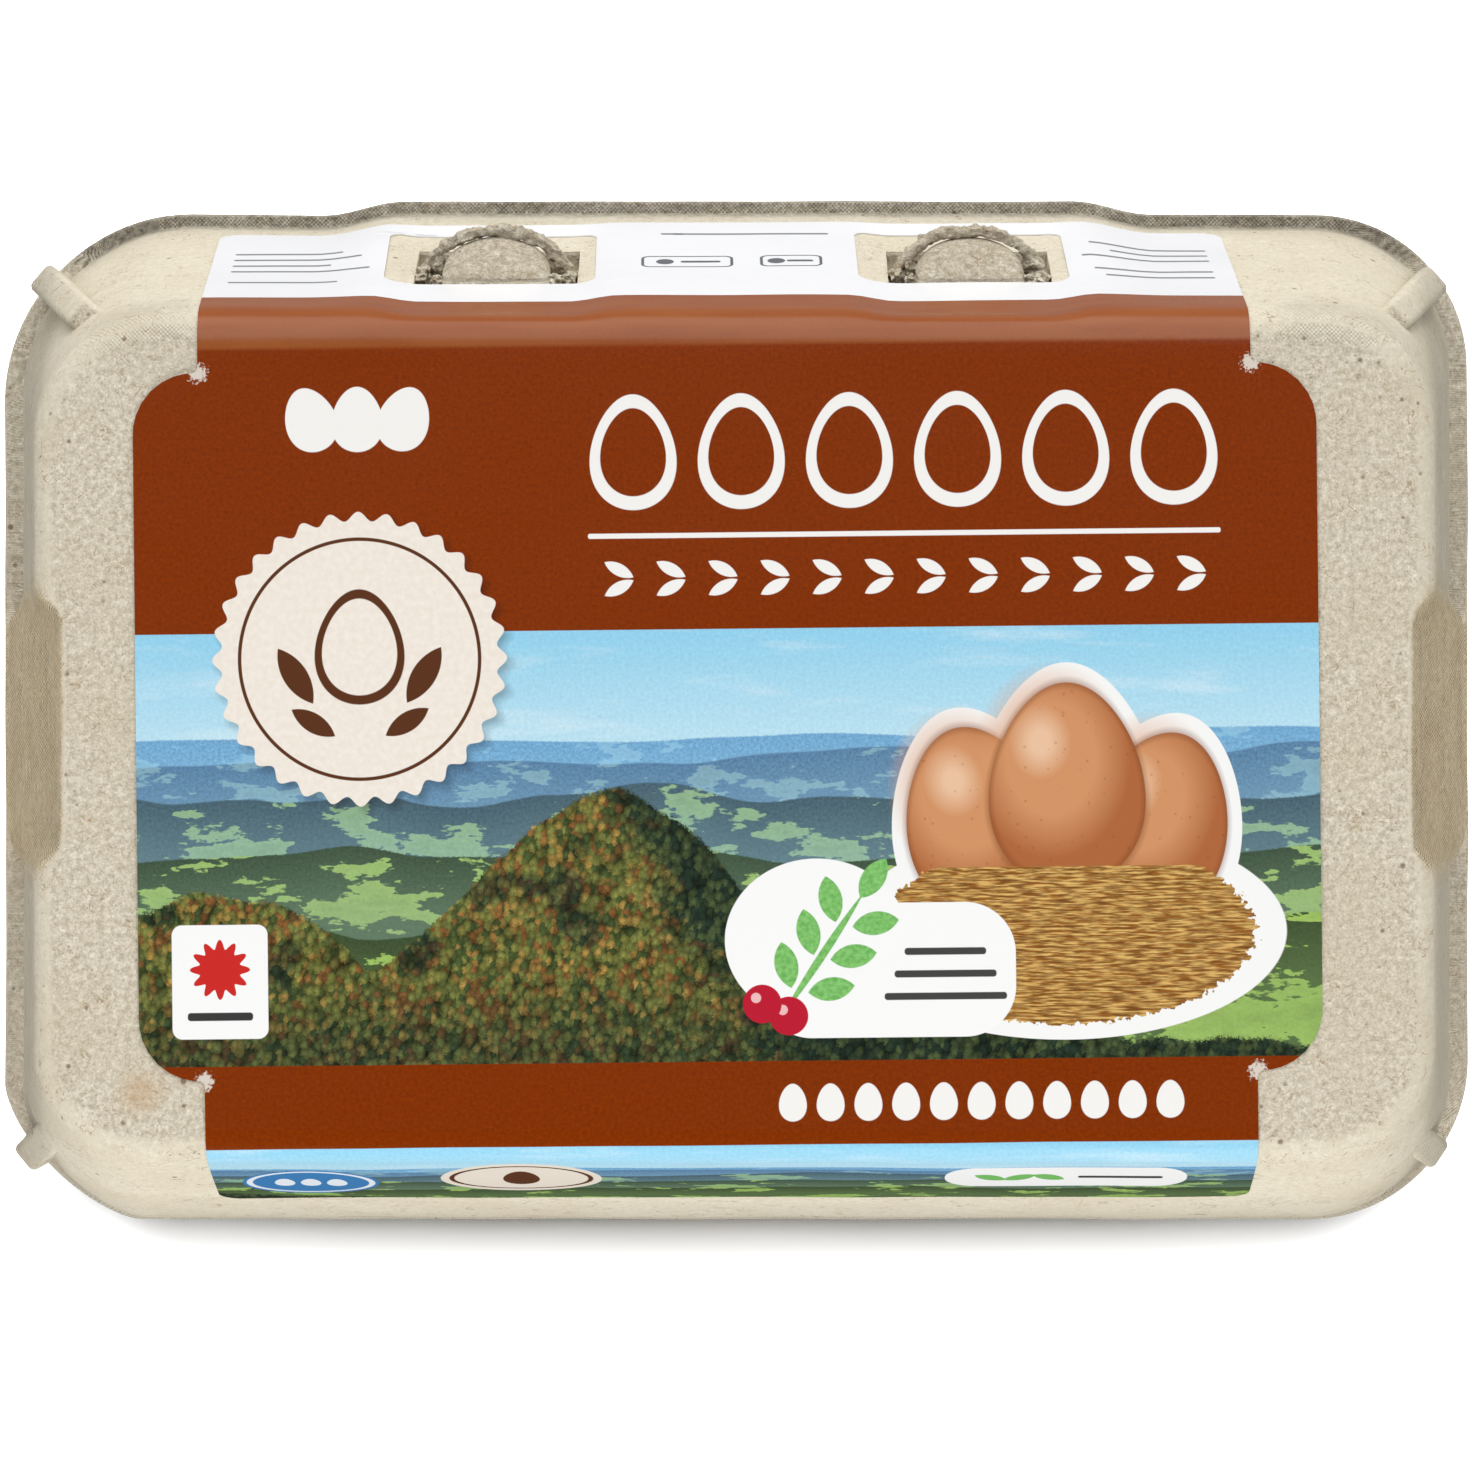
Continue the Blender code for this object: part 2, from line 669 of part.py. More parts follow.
def folded(x, along, lift):
    """The place of a laid-down label point once folded over the lid, at a height above the pulp."""
    toward_latch = along > 0
    profile = LATCH_PROFILE if toward_latch else HINGE_PROFILE
    flat_edge = profile[0][0]
    distance = abs(along)
    sign = 1.0 if toward_latch else -1.0
    if distance <= flat_edge:
        return Vector((x, along, LID_TOP + lift))
    left = distance - flat_edge
    points = profile[: FOLD_STEPS + WALL_STEPS + 1]
    for index, (upper, lower) in enumerate(zip(points, points[1:])):
        run, drop = lower[0] - upper[0], upper[1] - lower[1]
        length = math.hypot(run, drop)
        if left <= length or index == len(points) - 2:
            share = left / length
            normals = [profile_normal(points, index), profile_normal(points, index + 1)]
            normal_out = blend(normals[0][0], normals[1][0], share)
            normal_up = blend(normals[0][1], normals[1][1], share)
            outward, height = upper[0] + run * share, upper[1] - drop * share
            if toward_latch:
                outward += latch_shift(x, height)
            return Vector((x, sign * (outward + normal_out * lift), height + normal_up * lift))
        left -= length
    raise ValueError("label longer than the wall")


def profile_normal(points, index):
    """The outward normal at a profile point, long enough to keep an even distance past a bend."""
    before = points[max(index - 1, 0)]
    here = points[index]
    after = points[min(index + 1, len(points) - 1)]
    first = Vector((here[1] - before[1], before[0] - here[0])) if index else Vector((0.0, -1.0))
    second = Vector((after[1] - here[1], here[0] - after[0])) if here != after else first
    first.normalize()
    second.normalize()
    middle = -(first + second).normalized()
    return middle / max(middle.dot(-second), 0.5)


def label_creases():
    """Lines across the flat label where it bends: the places along v of the profiles' points."""
    places = []
    for profile, sign in ((LATCH_PROFILE, 1.0), (HINGE_PROFILE, -1.0)):
        distance = profile[0][0]
        points = profile[: FOLD_STEPS + WALL_STEPS + 1]
        for upper, lower in zip(points, points[1:]):
            places.append(sign * distance)
            distance += math.hypot(lower[0] - upper[0], upper[1] - lower[1])
    return places


def make_label(parts):
    """The paper label: a flat outline with two windows, given a thickness, creased and folded over the lid."""
    curve = bpy.data.curves.new("label", "CURVE")
    curve.dimensions = "2D"
    curve.fill_mode = "BOTH"
    curve.extrude = LABEL_THICKNESS / 2
    for outline in [label_outline()] + window_outlines():
        spline = curve.splines.new("POLY")
        spline.points.add(len(outline) - 1)
        spline.use_cyclic_u = True
        for point, (u, v) in zip(spline.points, outline):
            point.co = (*laid_down(u, v), 0.0, 1.0)
    sheet = bpy.data.objects.new("label", curve)
    parts.objects.link(sheet)
    label = made_mesh(sheet, parts)
    label.name = "label"
    mesh = bmesh.new()
    mesh.from_mesh(label.data)
    for place in label_creases():
        crease(mesh, mesh.faces, (0.0, place, 0.0), (0.0, 1.0, 0.0))
    for x in LATCH_STATIONS:
        on_latch_wall = [face for face in mesh.faces if face.calc_center_median().y > FLAT_LATCH]
        crease(mesh, on_latch_wall, (x, 0.0, 0.0), (1.0, 0.0, 0.0))
    lift = LABEL_GAP + LABEL_THICKNESS / 2
    for vertex in mesh.verts:
        vertex.co = folded(vertex.co.x, vertex.co.y, lift + vertex.co.z)
    bmesh.ops.recalc_face_normals(mesh, faces=mesh.faces)
    mesh.to_mesh(label.data)
    mesh.free()
    return label


def crease(mesh, faces, point, normal):
    """Divides some faces of a bmesh along a plane."""
    edges = {edge for face in faces for edge in face.edges}
    verts = {vert for face in faces for vert in face.verts}
    touched = list(verts) + list(edges) + list(faces)
    bmesh.ops.bisect_plane(mesh, geom=touched, dist=1e-7, plane_co=point, plane_no=normal)


def stand_on_origin(things):
    """Parents everything to an empty that puts the footprint's middle at the origin."""
    footprint = bpy.data.objects.new("footprint", None)
    bpy.context.scene.collection.objects.link(footprint)
    middle_x = (RIM_LEFT + RIM_RIGHT) / 2
    middle_y = (RIM_HINGE + RIM_LATCH + BULGE_DEPTH) / 2
    footprint.location = (-middle_x, -middle_y, 0.0)
    for thing in things:
        thing.parent = footprint


def principled(name, color, roughness):
    """A plain Principled material."""
    material = bpy.data.materials.new(name)
    material.use_nodes = True
    shader = material.node_tree.nodes["Principled BSDF"]
    shader.inputs["Base Color"].default_value = color
    shader.inputs["Roughness"].default_value = roughness
    shader.inputs["Metallic"].default_value = 0.0
    return material


def new_collection(name):
    """A collection linked to the scene."""
    collection = bpy.data.collections.new(name)
    bpy.context.scene.collection.children.link(collection)
    return collection


def main():
    for thing in list(bpy.data.objects):
        bpy.data.objects.remove(thing)
    parts = new_collection(OBJECT_NAME)
    cutters = new_collection("cutters")
    joined = new_collection("joined_to_carton")
    carton = make_carton(parts, cutters, joined)
    label = make_label(parts)
    helpers = list(cutters.objects) + list(joined.objects)
    for helper in helpers:
        helper.hide_render = True
        helper.display_type = "WIRE"
    stand_on_origin([carton, label] + helpers)
    carton.data.materials.append(principled("pulp", PULP_COLOR, 0.95))
    label.data.materials.append(principled("printed_paper", PAPER_COLOR, 0.45))


main()
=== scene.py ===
"""Looks for the shut egg carton: finer pulp and paper for the frame's, with materials, light and camera.

Shapes follow the frame's own sizes, in metres from the middle of the lid's flat top, and are then moved so
that the middle of the footprint is at the origin, as it is in the frame.
"""

import math
import random

import bmesh
import bpy
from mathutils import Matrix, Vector, noise
from mathutils.bvhtree import BVHTree

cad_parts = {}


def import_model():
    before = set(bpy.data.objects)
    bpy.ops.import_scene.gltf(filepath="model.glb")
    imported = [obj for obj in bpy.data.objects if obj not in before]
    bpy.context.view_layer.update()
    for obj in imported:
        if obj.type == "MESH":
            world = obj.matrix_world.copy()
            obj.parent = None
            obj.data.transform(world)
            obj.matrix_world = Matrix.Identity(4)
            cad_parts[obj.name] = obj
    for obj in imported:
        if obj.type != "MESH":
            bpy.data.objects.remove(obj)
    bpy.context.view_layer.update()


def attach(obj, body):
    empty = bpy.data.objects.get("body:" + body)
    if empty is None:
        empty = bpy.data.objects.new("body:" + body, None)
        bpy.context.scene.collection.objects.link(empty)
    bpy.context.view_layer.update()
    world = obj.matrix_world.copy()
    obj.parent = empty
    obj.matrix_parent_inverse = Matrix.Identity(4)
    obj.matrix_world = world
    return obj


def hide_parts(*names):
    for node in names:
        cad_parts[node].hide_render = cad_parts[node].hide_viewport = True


# Lid: the edges of its flat top, the folds round that top and the walls below them
LID_TOP = 0.0700
FLAT_LEFT = -0.0664
FLAT_RIGHT = 0.0659
FLAT_HINGE = -0.0385
FLAT_LATCH = 0.0384
SIDE_FOLD_RADIUS = 0.0029
HINGE_FOLD_RADIUS = 0.0035
LATCH_FOLD_RADIUS = 0.0040
SIDE_STEEPNESS = math.radians(83.0)
HINGE_STEEPNESS = math.radians(69.0)
LATCH_STEEPNESS = math.radians(72.3)
WALL_FOOT = 0.0334
HINGE_BEND = (0.0486, 0.0500)

# Rim: the outline in which the lid and the tray meet
RIM_BOTTOM = 0.0310
RIM_LEFT = -0.0762
RIM_RIGHT = 0.0761
RIM_HINGE = -0.0502
RIM_LATCH = 0.0544
SIDE_FLANGE = 0.0020
LATCH_FLANGE = 0.0013
HINGE_FLANGE = 0.0002
RIM_EDGE = ((0.00030, 0.00015), (0.00008, 0.00045), (0.0, 0.00095))

# Corners, counter-clockwise from the one at the right of the latch side: rim radius, top radius and the
# exponent of the rim's superellipse, where 2 is a circle
CORNERS = {
    "latch_right": (0.0160, 0.0100, 2.0),
    "latch_left": (0.0195, 0.0110, 2.0),
    "hinge_left": (0.0140, 0.0090, 1.5),
    "hinge_right": (0.0165, 0.0095, 2.0),
}

# Finger notches in the short sides
NOTCH_MIDDLE = 0.0006
NOTCH_HALF = 0.0108
NOTCH_RAMP = 0.0034
NOTCH_FLAT_EDGE = 0.0655
NOTCH_FOLD_RADIUS = 0.0010
NOTCH_STEEPNESS = math.radians(75.0)
NOTCH_FLANGE = 0.0004

# The middle of the latch side stands out, and it is pressed in round each latch
BULGE_DEPTH = 0.0014
BULGE_HALF = 0.0350
BULGE_RAMP = 0.0080
LATCH_CENTERS = (-0.0242, 0.0234)
PAD_DEPTH = 0.0006
PAD_HALF = 0.0075
PAD_RAMP = 0.0050
PAD_FADE = 0.7

# How far from the middle each side is straight, beyond which a corner begins
SHORT_REACH = 0.0240
LATCH_REACH = 0.0455
HINGE_REACH = 0.0480

# Seam between lid and tray, and the tray's own rim
SEAM_DEPTH = 0.0026
SEAM_HINGE_DEPTH = 0.0006
SEAM_HEIGHT = 0.0006
SEAM_ROUNDING = 0.0001
TRAY_RIM_INSET = 0.0004
TRAY_RIM_THICKNESS = 0.0015
TRAY_STEP = 0.0012
TRAY_WALL_INSET = 0.0098
TRAY_HINGE_INSET = 0.0088
TRAY_WALL_TAPER = 0.0040
VALLEY_HEIGHT = 0.0140
SEAM_ROUNDNESS = 0.9
TRAY_TOP_ROUNDNESS = 0.7
TRAY_BASE_ROUNDNESS = 0.6

# Cups of the tray: height, half width and corner radius, from the foot up
CUP_PITCH_X = 0.0475
CUP_PITCH_Y = 0.0470
CUP_ROWS_MIDDLE = 0.0014
CUP_COLUMNS = (-1, 0, 1)
CUP_ROWS = (-0.5, 0.5)
CUP_LEVELS = (
    (0.0000, 0.0150, 0.0068),
    (0.0002, 0.0155, 0.0071),
    (0.0007, 0.0160, 0.0074),
    (0.0014, 0.0165, 0.0077),
    (0.0024, 0.0169, 0.0080),
    (0.0130, 0.0197, 0.0100),
    (0.0220, 0.0216, 0.0120),
    (0.0292, 0.0229, 0.0135),
)
POST_HOLLOW_RADIUS = 0.0085
POST_HOLLOW_TIP_RADIUS = 0.0035
POST_HOLLOW_START = 0.0120
POST_HOLLOW_TOP = 0.0360

# Ribs down the lid's corners
RIB_WIDTH = 0.0033
RIB_SHOULDER = 0.0600
RIB_KNEE = 0.0425
RIB_INNER_INSET = 0.0072
RIB_ROOT = 0.0040
RIB_FOOT = 0.0314
RIB_FOOT_INSET = 0.0010
RIB_ROUNDING = 0.0007
RIBS = {
    "latch_right": ((0.0719, 0.0472), 41.0),
    "latch_left": ((-0.0716, 0.0474), 140.0),
    "hinge_left": ((-0.0732, -0.0434), 219.0),
    "hinge_right": ((0.0722, -0.0430), 326.0),
}

# Latches: a slot in the lid's wall, and the nose of the tray's flap that stands out through it
SLOT_HALF_WIDTH = 0.0082
SLOT_BOTTOM = 0.0455
SLOT_TOP = 0.0586
SLOT_DEPTH = 0.0020
NOSE_HALF_WIDTH = 0.0055
NOSE_ROOT = 0.0030
NOSE_REACH = 0.0035
NOSE_SECTIONS = (
    (0.0565, 0.10, 0.88),
    (0.0562, 0.30, 0.94),
    (0.0559, 0.42, 0.97),
    (0.0554, 0.60, 0.99),
    (0.0549, 0.76, 1.00),
    (0.0543, 0.90, 1.00),
    (0.0537, 1.00, 1.00),
    (0.0531, 1.03, 0.99),
    (0.0524, 0.98, 0.98),
    (0.0508, 0.62, 0.92),
    (0.0480, 0.34, 0.84),
    (0.0452, 0.00, 0.66),
)
BEAD_RADIUS = 0.00060
BEAD_HALF_WIDTH = 0.0057
BEAD_REACH = 0.0043
BEAD_HEIGHT = 0.0532
BEAD_END_DROP = 0.0010
BEAD_END_SUNK = -0.0002
BEAD_END_SPREAD = 0.0014
BEAD_FULLNESS = 0.75
# The lips' unevenness: a share of their radius, how fine it is along them, and how fine round them
BEAD_ROUGHNESS = ((0.55, 700, 0.9), (0.45, 1900, 2.2), (0.30, 500, 4.5))
# Torn pulp in the slots beside the noses: lumps and holes, each by its place beside the latch's middle, its
# height, how far it stands out of the wall, and its half width, depth and height
TORN_LUMPS = (
    (-0.0073, 0.0530, -0.0004, (0.0009, 0.0009, 0.0020)),
    (-0.0060, 0.0520, 0.0003, (0.0009, 0.0009, 0.0012)),
    (0.0062, 0.0518, 0.0004, (0.0010, 0.0009, 0.0013)),
    (0.0074, 0.0538, -0.0005, (0.0008, 0.0009, 0.0018)),
    (0.0060, 0.0545, -0.0003, (0.0009, 0.0007, 0.0012)),
    (-0.0060, 0.0548, -0.0003, (0.0008, 0.0006, 0.0012)),
)
TORN_HOLES = (
    (-0.0067, 0.0543, -0.0016, (0.0005, 0.0024, 0.0014)),
    (0.0075, 0.0506, -0.0012, (0.0005, 0.0022, 0.0010)),
    (0.0063, 0.0540, -0.0016, (0.0005, 0.0020, 0.0006)),
)

# Label: real paper, glued flat on the pulp
LABEL_LIFT = 0.00004
LABEL_THICKNESS = 0.00012
LABEL_TURN = math.radians(0.6)
LABEL_MIDDLE_X = -0.0009
LABEL_WIDE_HALF = 0.0580
LABEL_FLAP_HALF = 0.0516
LABEL_WIDE_LATCH = 0.0362
LABEL_WIDE_HINGE = -0.0332
LABEL_END_LATCH = 0.0747
LABEL_END_HINGE = -0.0565
LABEL_WIDE_RADIUS = 0.0060
LABEL_FLAP_RADIUS = 0.0022
LABEL_NECK_RADIUS = 0.0006
WINDOW_SHIFT = -0.0007
WINDOW_HALF_WIDTH = 0.0106
WINDOW_START = 0.0540
WINDOW_END = 0.0714
WINDOW_RADIUS = 0.0015

# How finely curved shapes are divided
FOLD_STEPS = 10
WALL_STEPS = 18
CORNER_STEPS = 22
STATION_STEP = 0.0013
CUP_CORNER_STEPS = 10
POST_STEPS = 40
NOSE_STEPS = 40
BEAD_STEPS = 90
BEAD_SIDES = 14
LABEL_ARC_STEPS = 8

# Unevenness of the moulded pulp
RIPPLE_HEIGHT = 0.00012
RIPPLE_LENGTH = 0.012
RIPPLE_START = 0.004

# Camera: above the lid, looking straight down
CAMERA_HEIGHT = 0.670
CAMERA_LENS = 149.5
SENSOR_WIDTH = 36.0

# Flecks in the pulp: how many fit in a metre, the share that shows, their size as a share of their spacing,
# their colour and how strong it is
FLECKS = (
    (520.0, 0.30, 0.16, (122, 96, 66), 0.75),
    (760.0, 0.22, 0.15, (112, 112, 112), 0.6),
    (300.0, 0.10, 0.10, (186, 122, 62), 0.7),
    (1500.0, 0.40, 0.20, (140, 122, 96), 0.5),
)
WIRE_PITCH = 0.00043
WIRE_TURNS = 2 * math.pi / WIRE_PITCH
# A brownish stain by the hinge: its place and size
STAIN = (-0.0585, -0.0375, 0.0042)
# Where torn pulp is: the height of its middle, and the latch wall there as a distance from the middle
TORN_MIDDLE = 0.0512
WALL_SLOPE = -0.3634
WALL_START = 0.06604

# How much brighter the light on the lid's top is than what would show a white sheet as just white
BRIGHTNESS = 1.22
# Depth of the relief pressed into pulp and paper
PULP_RELIEF = 0.00025
PAPER_RELIEF = 0.00002
# Below this many degrees between faces, edges are shaded smooth
PANEL_SMOOTHING = 38
SCRAP_SMOOTHING = 60

# Loose fibres: how many, where they start, how far they stay off the paper, and their steps and radii
FIBRE_COUNT = 260
FIBRE_SEED = 7
FIBRE_REGION = ((-0.08, 0.08), (-0.055, 0.06), (0.0, 0.08))
FIBRE_CLEARANCE = 0.0006
FIBRE_STEP = (0.0002, 0.00045)
FIBRE_STEPS = (7, 13)
FIBRE_RADIUS = (0.000018, 0.00004)
FIBRE_SIDES = (0.0, 1.57, 3.14, 4.71)

# The print, in millimetres on the flat label: where its fields meet along v, the place along u that divides
# its wide fields, and where the painted sheen over the fold begins
PRINT_PLACE = "print_place"
MILLIMETRES = 1000.0
FLAP_START = 47.6
FOLD_EDGE = (38.3, 38.7)
PICTURE_TOP = 10.6
PICTURE_BOTTOM = -31.8
FIELD_DIVIDE = -18.0
STRIP_TOP = -40.0
STRIP_BOTTOM = -57.5
STRIP_SHIFT = 64.0
# Colours are 8-bit values as they show on the lid. Hills from the farthest: seed, middle and relief of the
# skyline as shares of the picture's height, length of a hill, and the colours of haze, meadow and wood
HILLS = (
    (3.0, 0.75, 0.04, 34.0, (168, 214, 234), (140, 192, 222), (116, 170, 210)),
    (14.0, 0.70, 0.07, 24.0, (150, 194, 214), (132, 172, 188), (92, 132, 166)),
    (21.0, 0.61, 0.10, 21.0, (136, 172, 180), (148, 184, 142), (74, 100, 112)),
    (37.0, 0.48, 0.12, 27.0, (132, 162, 134), (158, 192, 112), (66, 86, 66)),
    (48.0, 0.31, 0.12, 22.0, (120, 148, 92), (162, 196, 100), (62, 80, 50)),
)
WOOD_MIDDLE = -12.0
WOOD_WIDTH = 21.0
SECOND_WOOD_MIDDLE = -50.0
SECOND_WOOD_WIDTH = 17.0
# Motifs: places u, v, half sizes and turns, and how much eggs narrow towards their tops
LABEL_BROWN = (130, 49, 0)
OFF_WHITE = (246, 244, 240)
PATCH_WHITE = (250, 250, 249)
BADGE_INK = (92, 52, 28)
RULE_INK = (70, 70, 68)
EGG_TAPER = 0.16
NEST_EGGS = ((24.5, -8.5, 7.2, 9.4, 14.0), (42.0, -9.0, 7.0, 9.2, -16.0), (33.2, -5.0, 7.6, 10.0, 0.0))
NEST = (33.0, -19.5, 18.5, 9.0)
NEST_RIM = -13.0
CUT_OUT_EDGE = 1.5
BADGE = (-36.0, 8.0, 14.0)
SPRIG = (15.5, -23.0)
SPRIG_TURN = -34.0
SPRIG_LEAVES = (
    (-1.4, 9.0, -34.0),
    (-5.6, 7.0, 12.0),
    (-1.2, 4.6, -82.0),
    (-7.8, 3.8, 12.0),
    (-3.4, 1.4, -82.0),
    (-10.0, 0.6, 12.0),
    (-5.6, -1.8, -82.0),
)
SPRIG_BERRIES = ((-9.8, -4.4), (-12.4, -3.2))
SUN = (-50.0, -23.5)
# Rows: first place, pitch, count and v
EGG_ROW = (-9.0, 10.6, 6, 28.0)
HEADER_RULE = (17.5, 19.8, 31.0, 0.25)
LEAF_ROW = (-10.5, 5.1, 12, 15.6)
LOW_ROW = (6.0, 3.7, 11, -35.9)
CREST = (-36.0, 31.5)
HINGE_BADGE = (-21.0, -48.0)
HINGE_OVAL = (-42.0, -49.5)
HINGE_SPRIG = (33.0, -48.0)
FLAP_RULES = (
    (-44.0, 66.0, 5.5), (-43.0, 63.6, 6.5), (-44.5, 61.2, 5.0), (-42.5, 58.8, 7.0), (-44.0, 54.0, 5.5),
    (43.5, 67.0, 6.0), (44.5, 64.6, 5.0), (43.0, 62.2, 6.5), (43.5, 57.5, 6.0), (44.0, 55.1, 5.5),
    (3.0, 70.2, 8.0), (-5.0, 70.2, 1.2),
)
FLAP_FRAMES = ((-3.5, 60.0, 4.5, 1.9), (7.0, 60.0, 3.0, 1.9))

# Studio light: sines of the heights and directions between which the room's light changes, and its levels
HORIZON_EDGE = (-0.05, 0.10)
OVERHEAD_EDGE = (0.905, 0.950)
BANK_EDGE = (-0.05, 0.30)
BANK_LEVEL = 1.5
SIDE_LEVEL = 0.29
LOW_BANK_LEVEL = 0.30
ROOM_LEVEL = 0.04
BACKDROP_LEVEL = 0.85
# Lamps: place, width and height, and power
LATCH_LAMP = ((0.0, 1.0, 0.30), (1.2, 0.4), 3.0)
HINGE_LAMP = ((0.0, -1.0, 0.36), (1.2, 0.4), 16.0)
FLOOR_LAMP = ((0.0, 0.46, 3.0), (0.6, 0.6), 150.0)

FOOTPRINT_MIDDLE = Vector(
    ((RIM_LEFT + RIM_RIGHT) / 2, (RIM_HINGE + RIM_LATCH + BULGE_DEPTH) / 2, 0.0)
)


def blend(start, end, share):
    """The value that lies the given share of the way from start to end."""
    return start + (end - start) * share


def eased(share):
    """A share between 0 and 1 that leaves both ends gently."""
    share = min(max(share, 0.0), 1.0)
    return share * share * (3.0 - 2.0 * share)


def plateau(position, middle, half, ramp):
    """1 within half of the middle, falling to 0 over the ramp beyond it."""
    return 1.0 - eased((abs(position - middle) - half) / ramp)


def side_profile(flat_edge, fold_radius, steepness, flange, rim, bend=None):
    """One lid wall, from the edge of the flat top to the rim: points of (distance outward, height)."""
    points = []
    for step in range(FOLD_STEPS + 1):
        angle = steepness * step / FOLD_STEPS
        outward = flat_edge + fold_radius * math.sin(angle)
        points.append((outward, LID_TOP - fold_radius * (1.0 - math.cos(angle))))
    start = points[-1]
    foot = (rim - flange, WALL_FOOT)
    middle = bend or (blend(start[0], foot[0], 0.5), blend(start[1], foot[1], 0.5))
    for step in range(1, WALL_STEPS + 1):
        share = step / WALL_STEPS
        first = [blend(start[axis], middle[axis], share) for axis in range(2)]
        second = [blend(middle[axis], foot[axis], share) for axis in range(2)]
        points.append(tuple(blend(first[axis], second[axis], share) for axis in range(2)))
    for inward, down in RIM_EDGE:
        points.append((rim - inward, WALL_FOOT - down))
    points.append((rim, RIM_BOTTOM))
    return points


def short_side_profile(flat_edge, rim):
    """The lid's wall at a short side, away from the finger notch."""
    return side_profile(flat_edge, SIDE_FOLD_RADIUS, SIDE_STEEPNESS, SIDE_FLANGE, rim)


def notch_profile(rim):
    """The lid's wall at a short side, in the middle of the finger notch."""
    return side_profile(NOTCH_FLAT_EDGE, NOTCH_FOLD_RADIUS, NOTCH_STEEPNESS, NOTCH_FLANGE, rim)


LATCH_PROFILE = side_profile(
    FLAT_LATCH, LATCH_FOLD_RADIUS, LATCH_STEEPNESS, LATCH_FLANGE, RIM_LATCH
)
HINGE_PROFILE = side_profile(
    -FLAT_HINGE, HINGE_FOLD_RADIUS, HINGE_STEEPNESS, HINGE_FLANGE, -RIM_HINGE, HINGE_BEND
)


def latch_shift(x, height):
    """How far the latch wall stands out of its straight profile at x and at a height."""
    fold_end = LATCH_PROFILE[FOLD_STEPS][1]
    down = min(max((fold_end - height) / (fold_end - WALL_FOOT), 0.0), 1.0)
    bulge = BULGE_DEPTH * down * plateau(x, 0.0, BULGE_HALF, BULGE_RAMP)
    pressed = eased((LID_TOP - height) / (LID_TOP - fold_end))
    pressed *= 1.0 - eased((down - PAD_FADE) / (1.0 - PAD_FADE))
    pads = sum(plateau(x, center, PAD_HALF, PAD_RAMP) for center in LATCH_CENTERS)
    return bulge - PAD_DEPTH * pressed * pads


def stations(reach):
    """Evenly spaced places along a side."""
    steps = round(2 * reach / STATION_STEP)
    return [blend(-reach, reach, step / steps) for step in range(steps + 1)]


SHORT_STATIONS = stations(SHORT_REACH)
LATCH_STATIONS = stations(LATCH_REACH)
HINGE_STATIONS = stations(HINGE_REACH)


class Level:
    """One ring of the shell: how far its four sides lie from the middle, and how high."""

    def __init__(self, right, latch, left, hinge, radius_share, notch_right=None, notch_left=None):
        self.right, self.latch, self.left, self.hinge = right, latch, left, hinge
        self.radius_share = radius_share
        self.notch_right = notch_right or right
        self.notch_left = notch_left or left

    def short_point(self, side, y):
        plain, notch = (self.right, self.notch_right) if side > 0 else (self.left, self.notch_left)
        share = plateau(y, NOTCH_MIDDLE, NOTCH_HALF, NOTCH_RAMP)
        return Vector((side * blend(plain[0], notch[0], share), y, blend(plain[1], notch[1], share)))

    def latch_point(self, x):
        return Vector((x, self.latch[0] + latch_shift(x, self.latch[1]), self.latch[1]))

    def hinge_point(self, x):
        return Vector((x, -self.hinge[0], self.hinge[1]))

    def corner_points(self, name, start, end, quadrant):
        """A corner from its start side to its end side, turning counter-clockwise."""
        rim_radius, top_radius, exponent = CORNERS[name]
        radius = blend(top_radius, rim_radius, self.radius_share)
        power = 2.0 / blend(2.0, exponent, self.radius_share)
        points = []
        for step in range(CORNER_STEPS + 1):
            share = step / CORNER_STEPS
            along = math.cos(math.pi / 2 * share) ** power
            across = max(math.sin(math.pi / 2 * share), 0.0) ** power
            sizes = (along, across) if quadrant in (0, 2) else (across, along)
            reach_x, reach_y = (start[0], end[0]) if quadrant in (0, 2) else (end[0], start[0])
            x = reach_x - radius * (1.0 - sizes[0])
            y = reach_y - radius * (1.0 - sizes[1])
            sign_x = 1 if quadrant in (0, 3) else -1
            sign_y = 1 if quadrant in (0, 1) else -1
            points.append(Vector((sign_x * x, sign_y * y, blend(start[1], end[1], eased(share)))))
        return points

    def ring(self):
        """All points of this level, counter-clockwise from the right side."""
        points = [self.short_point(1, y) for y in SHORT_STATIONS]
        points += self.corner_points("latch_right", self.right, self.latch, 0)
        points += [self.latch_point(x) for x in reversed(LATCH_STATIONS)]
        points += self.corner_points("latch_left", self.latch, self.left, 1)
        points += [self.short_point(-1, y) for y in reversed(SHORT_STATIONS)]
        points += self.corner_points("hinge_left", self.left, self.hinge, 2)
        points += [self.hinge_point(x) for x in HINGE_STATIONS]
        points += self.corner_points("hinge_right", self.hinge, self.right, 3)
        return points


def lid_levels():
    """The lid's rings from the flat top down to the rim."""
    profiles = [
        short_side_profile(FLAT_RIGHT, RIM_RIGHT),
        LATCH_PROFILE,
        short_side_profile(-FLAT_LEFT, -RIM_LEFT),
        HINGE_PROFILE,
        notch_profile(RIM_RIGHT),
        notch_profile(-RIM_LEFT),
    ]
    levels = []
    for right, latch, left, hinge, notch_right, notch_left in zip(*profiles):
        share = (right[0] - FLAT_RIGHT) / (RIM_RIGHT - FLAT_RIGHT)
        levels.append(Level(right, latch, left, hinge, share, notch_right, notch_left))
    return levels


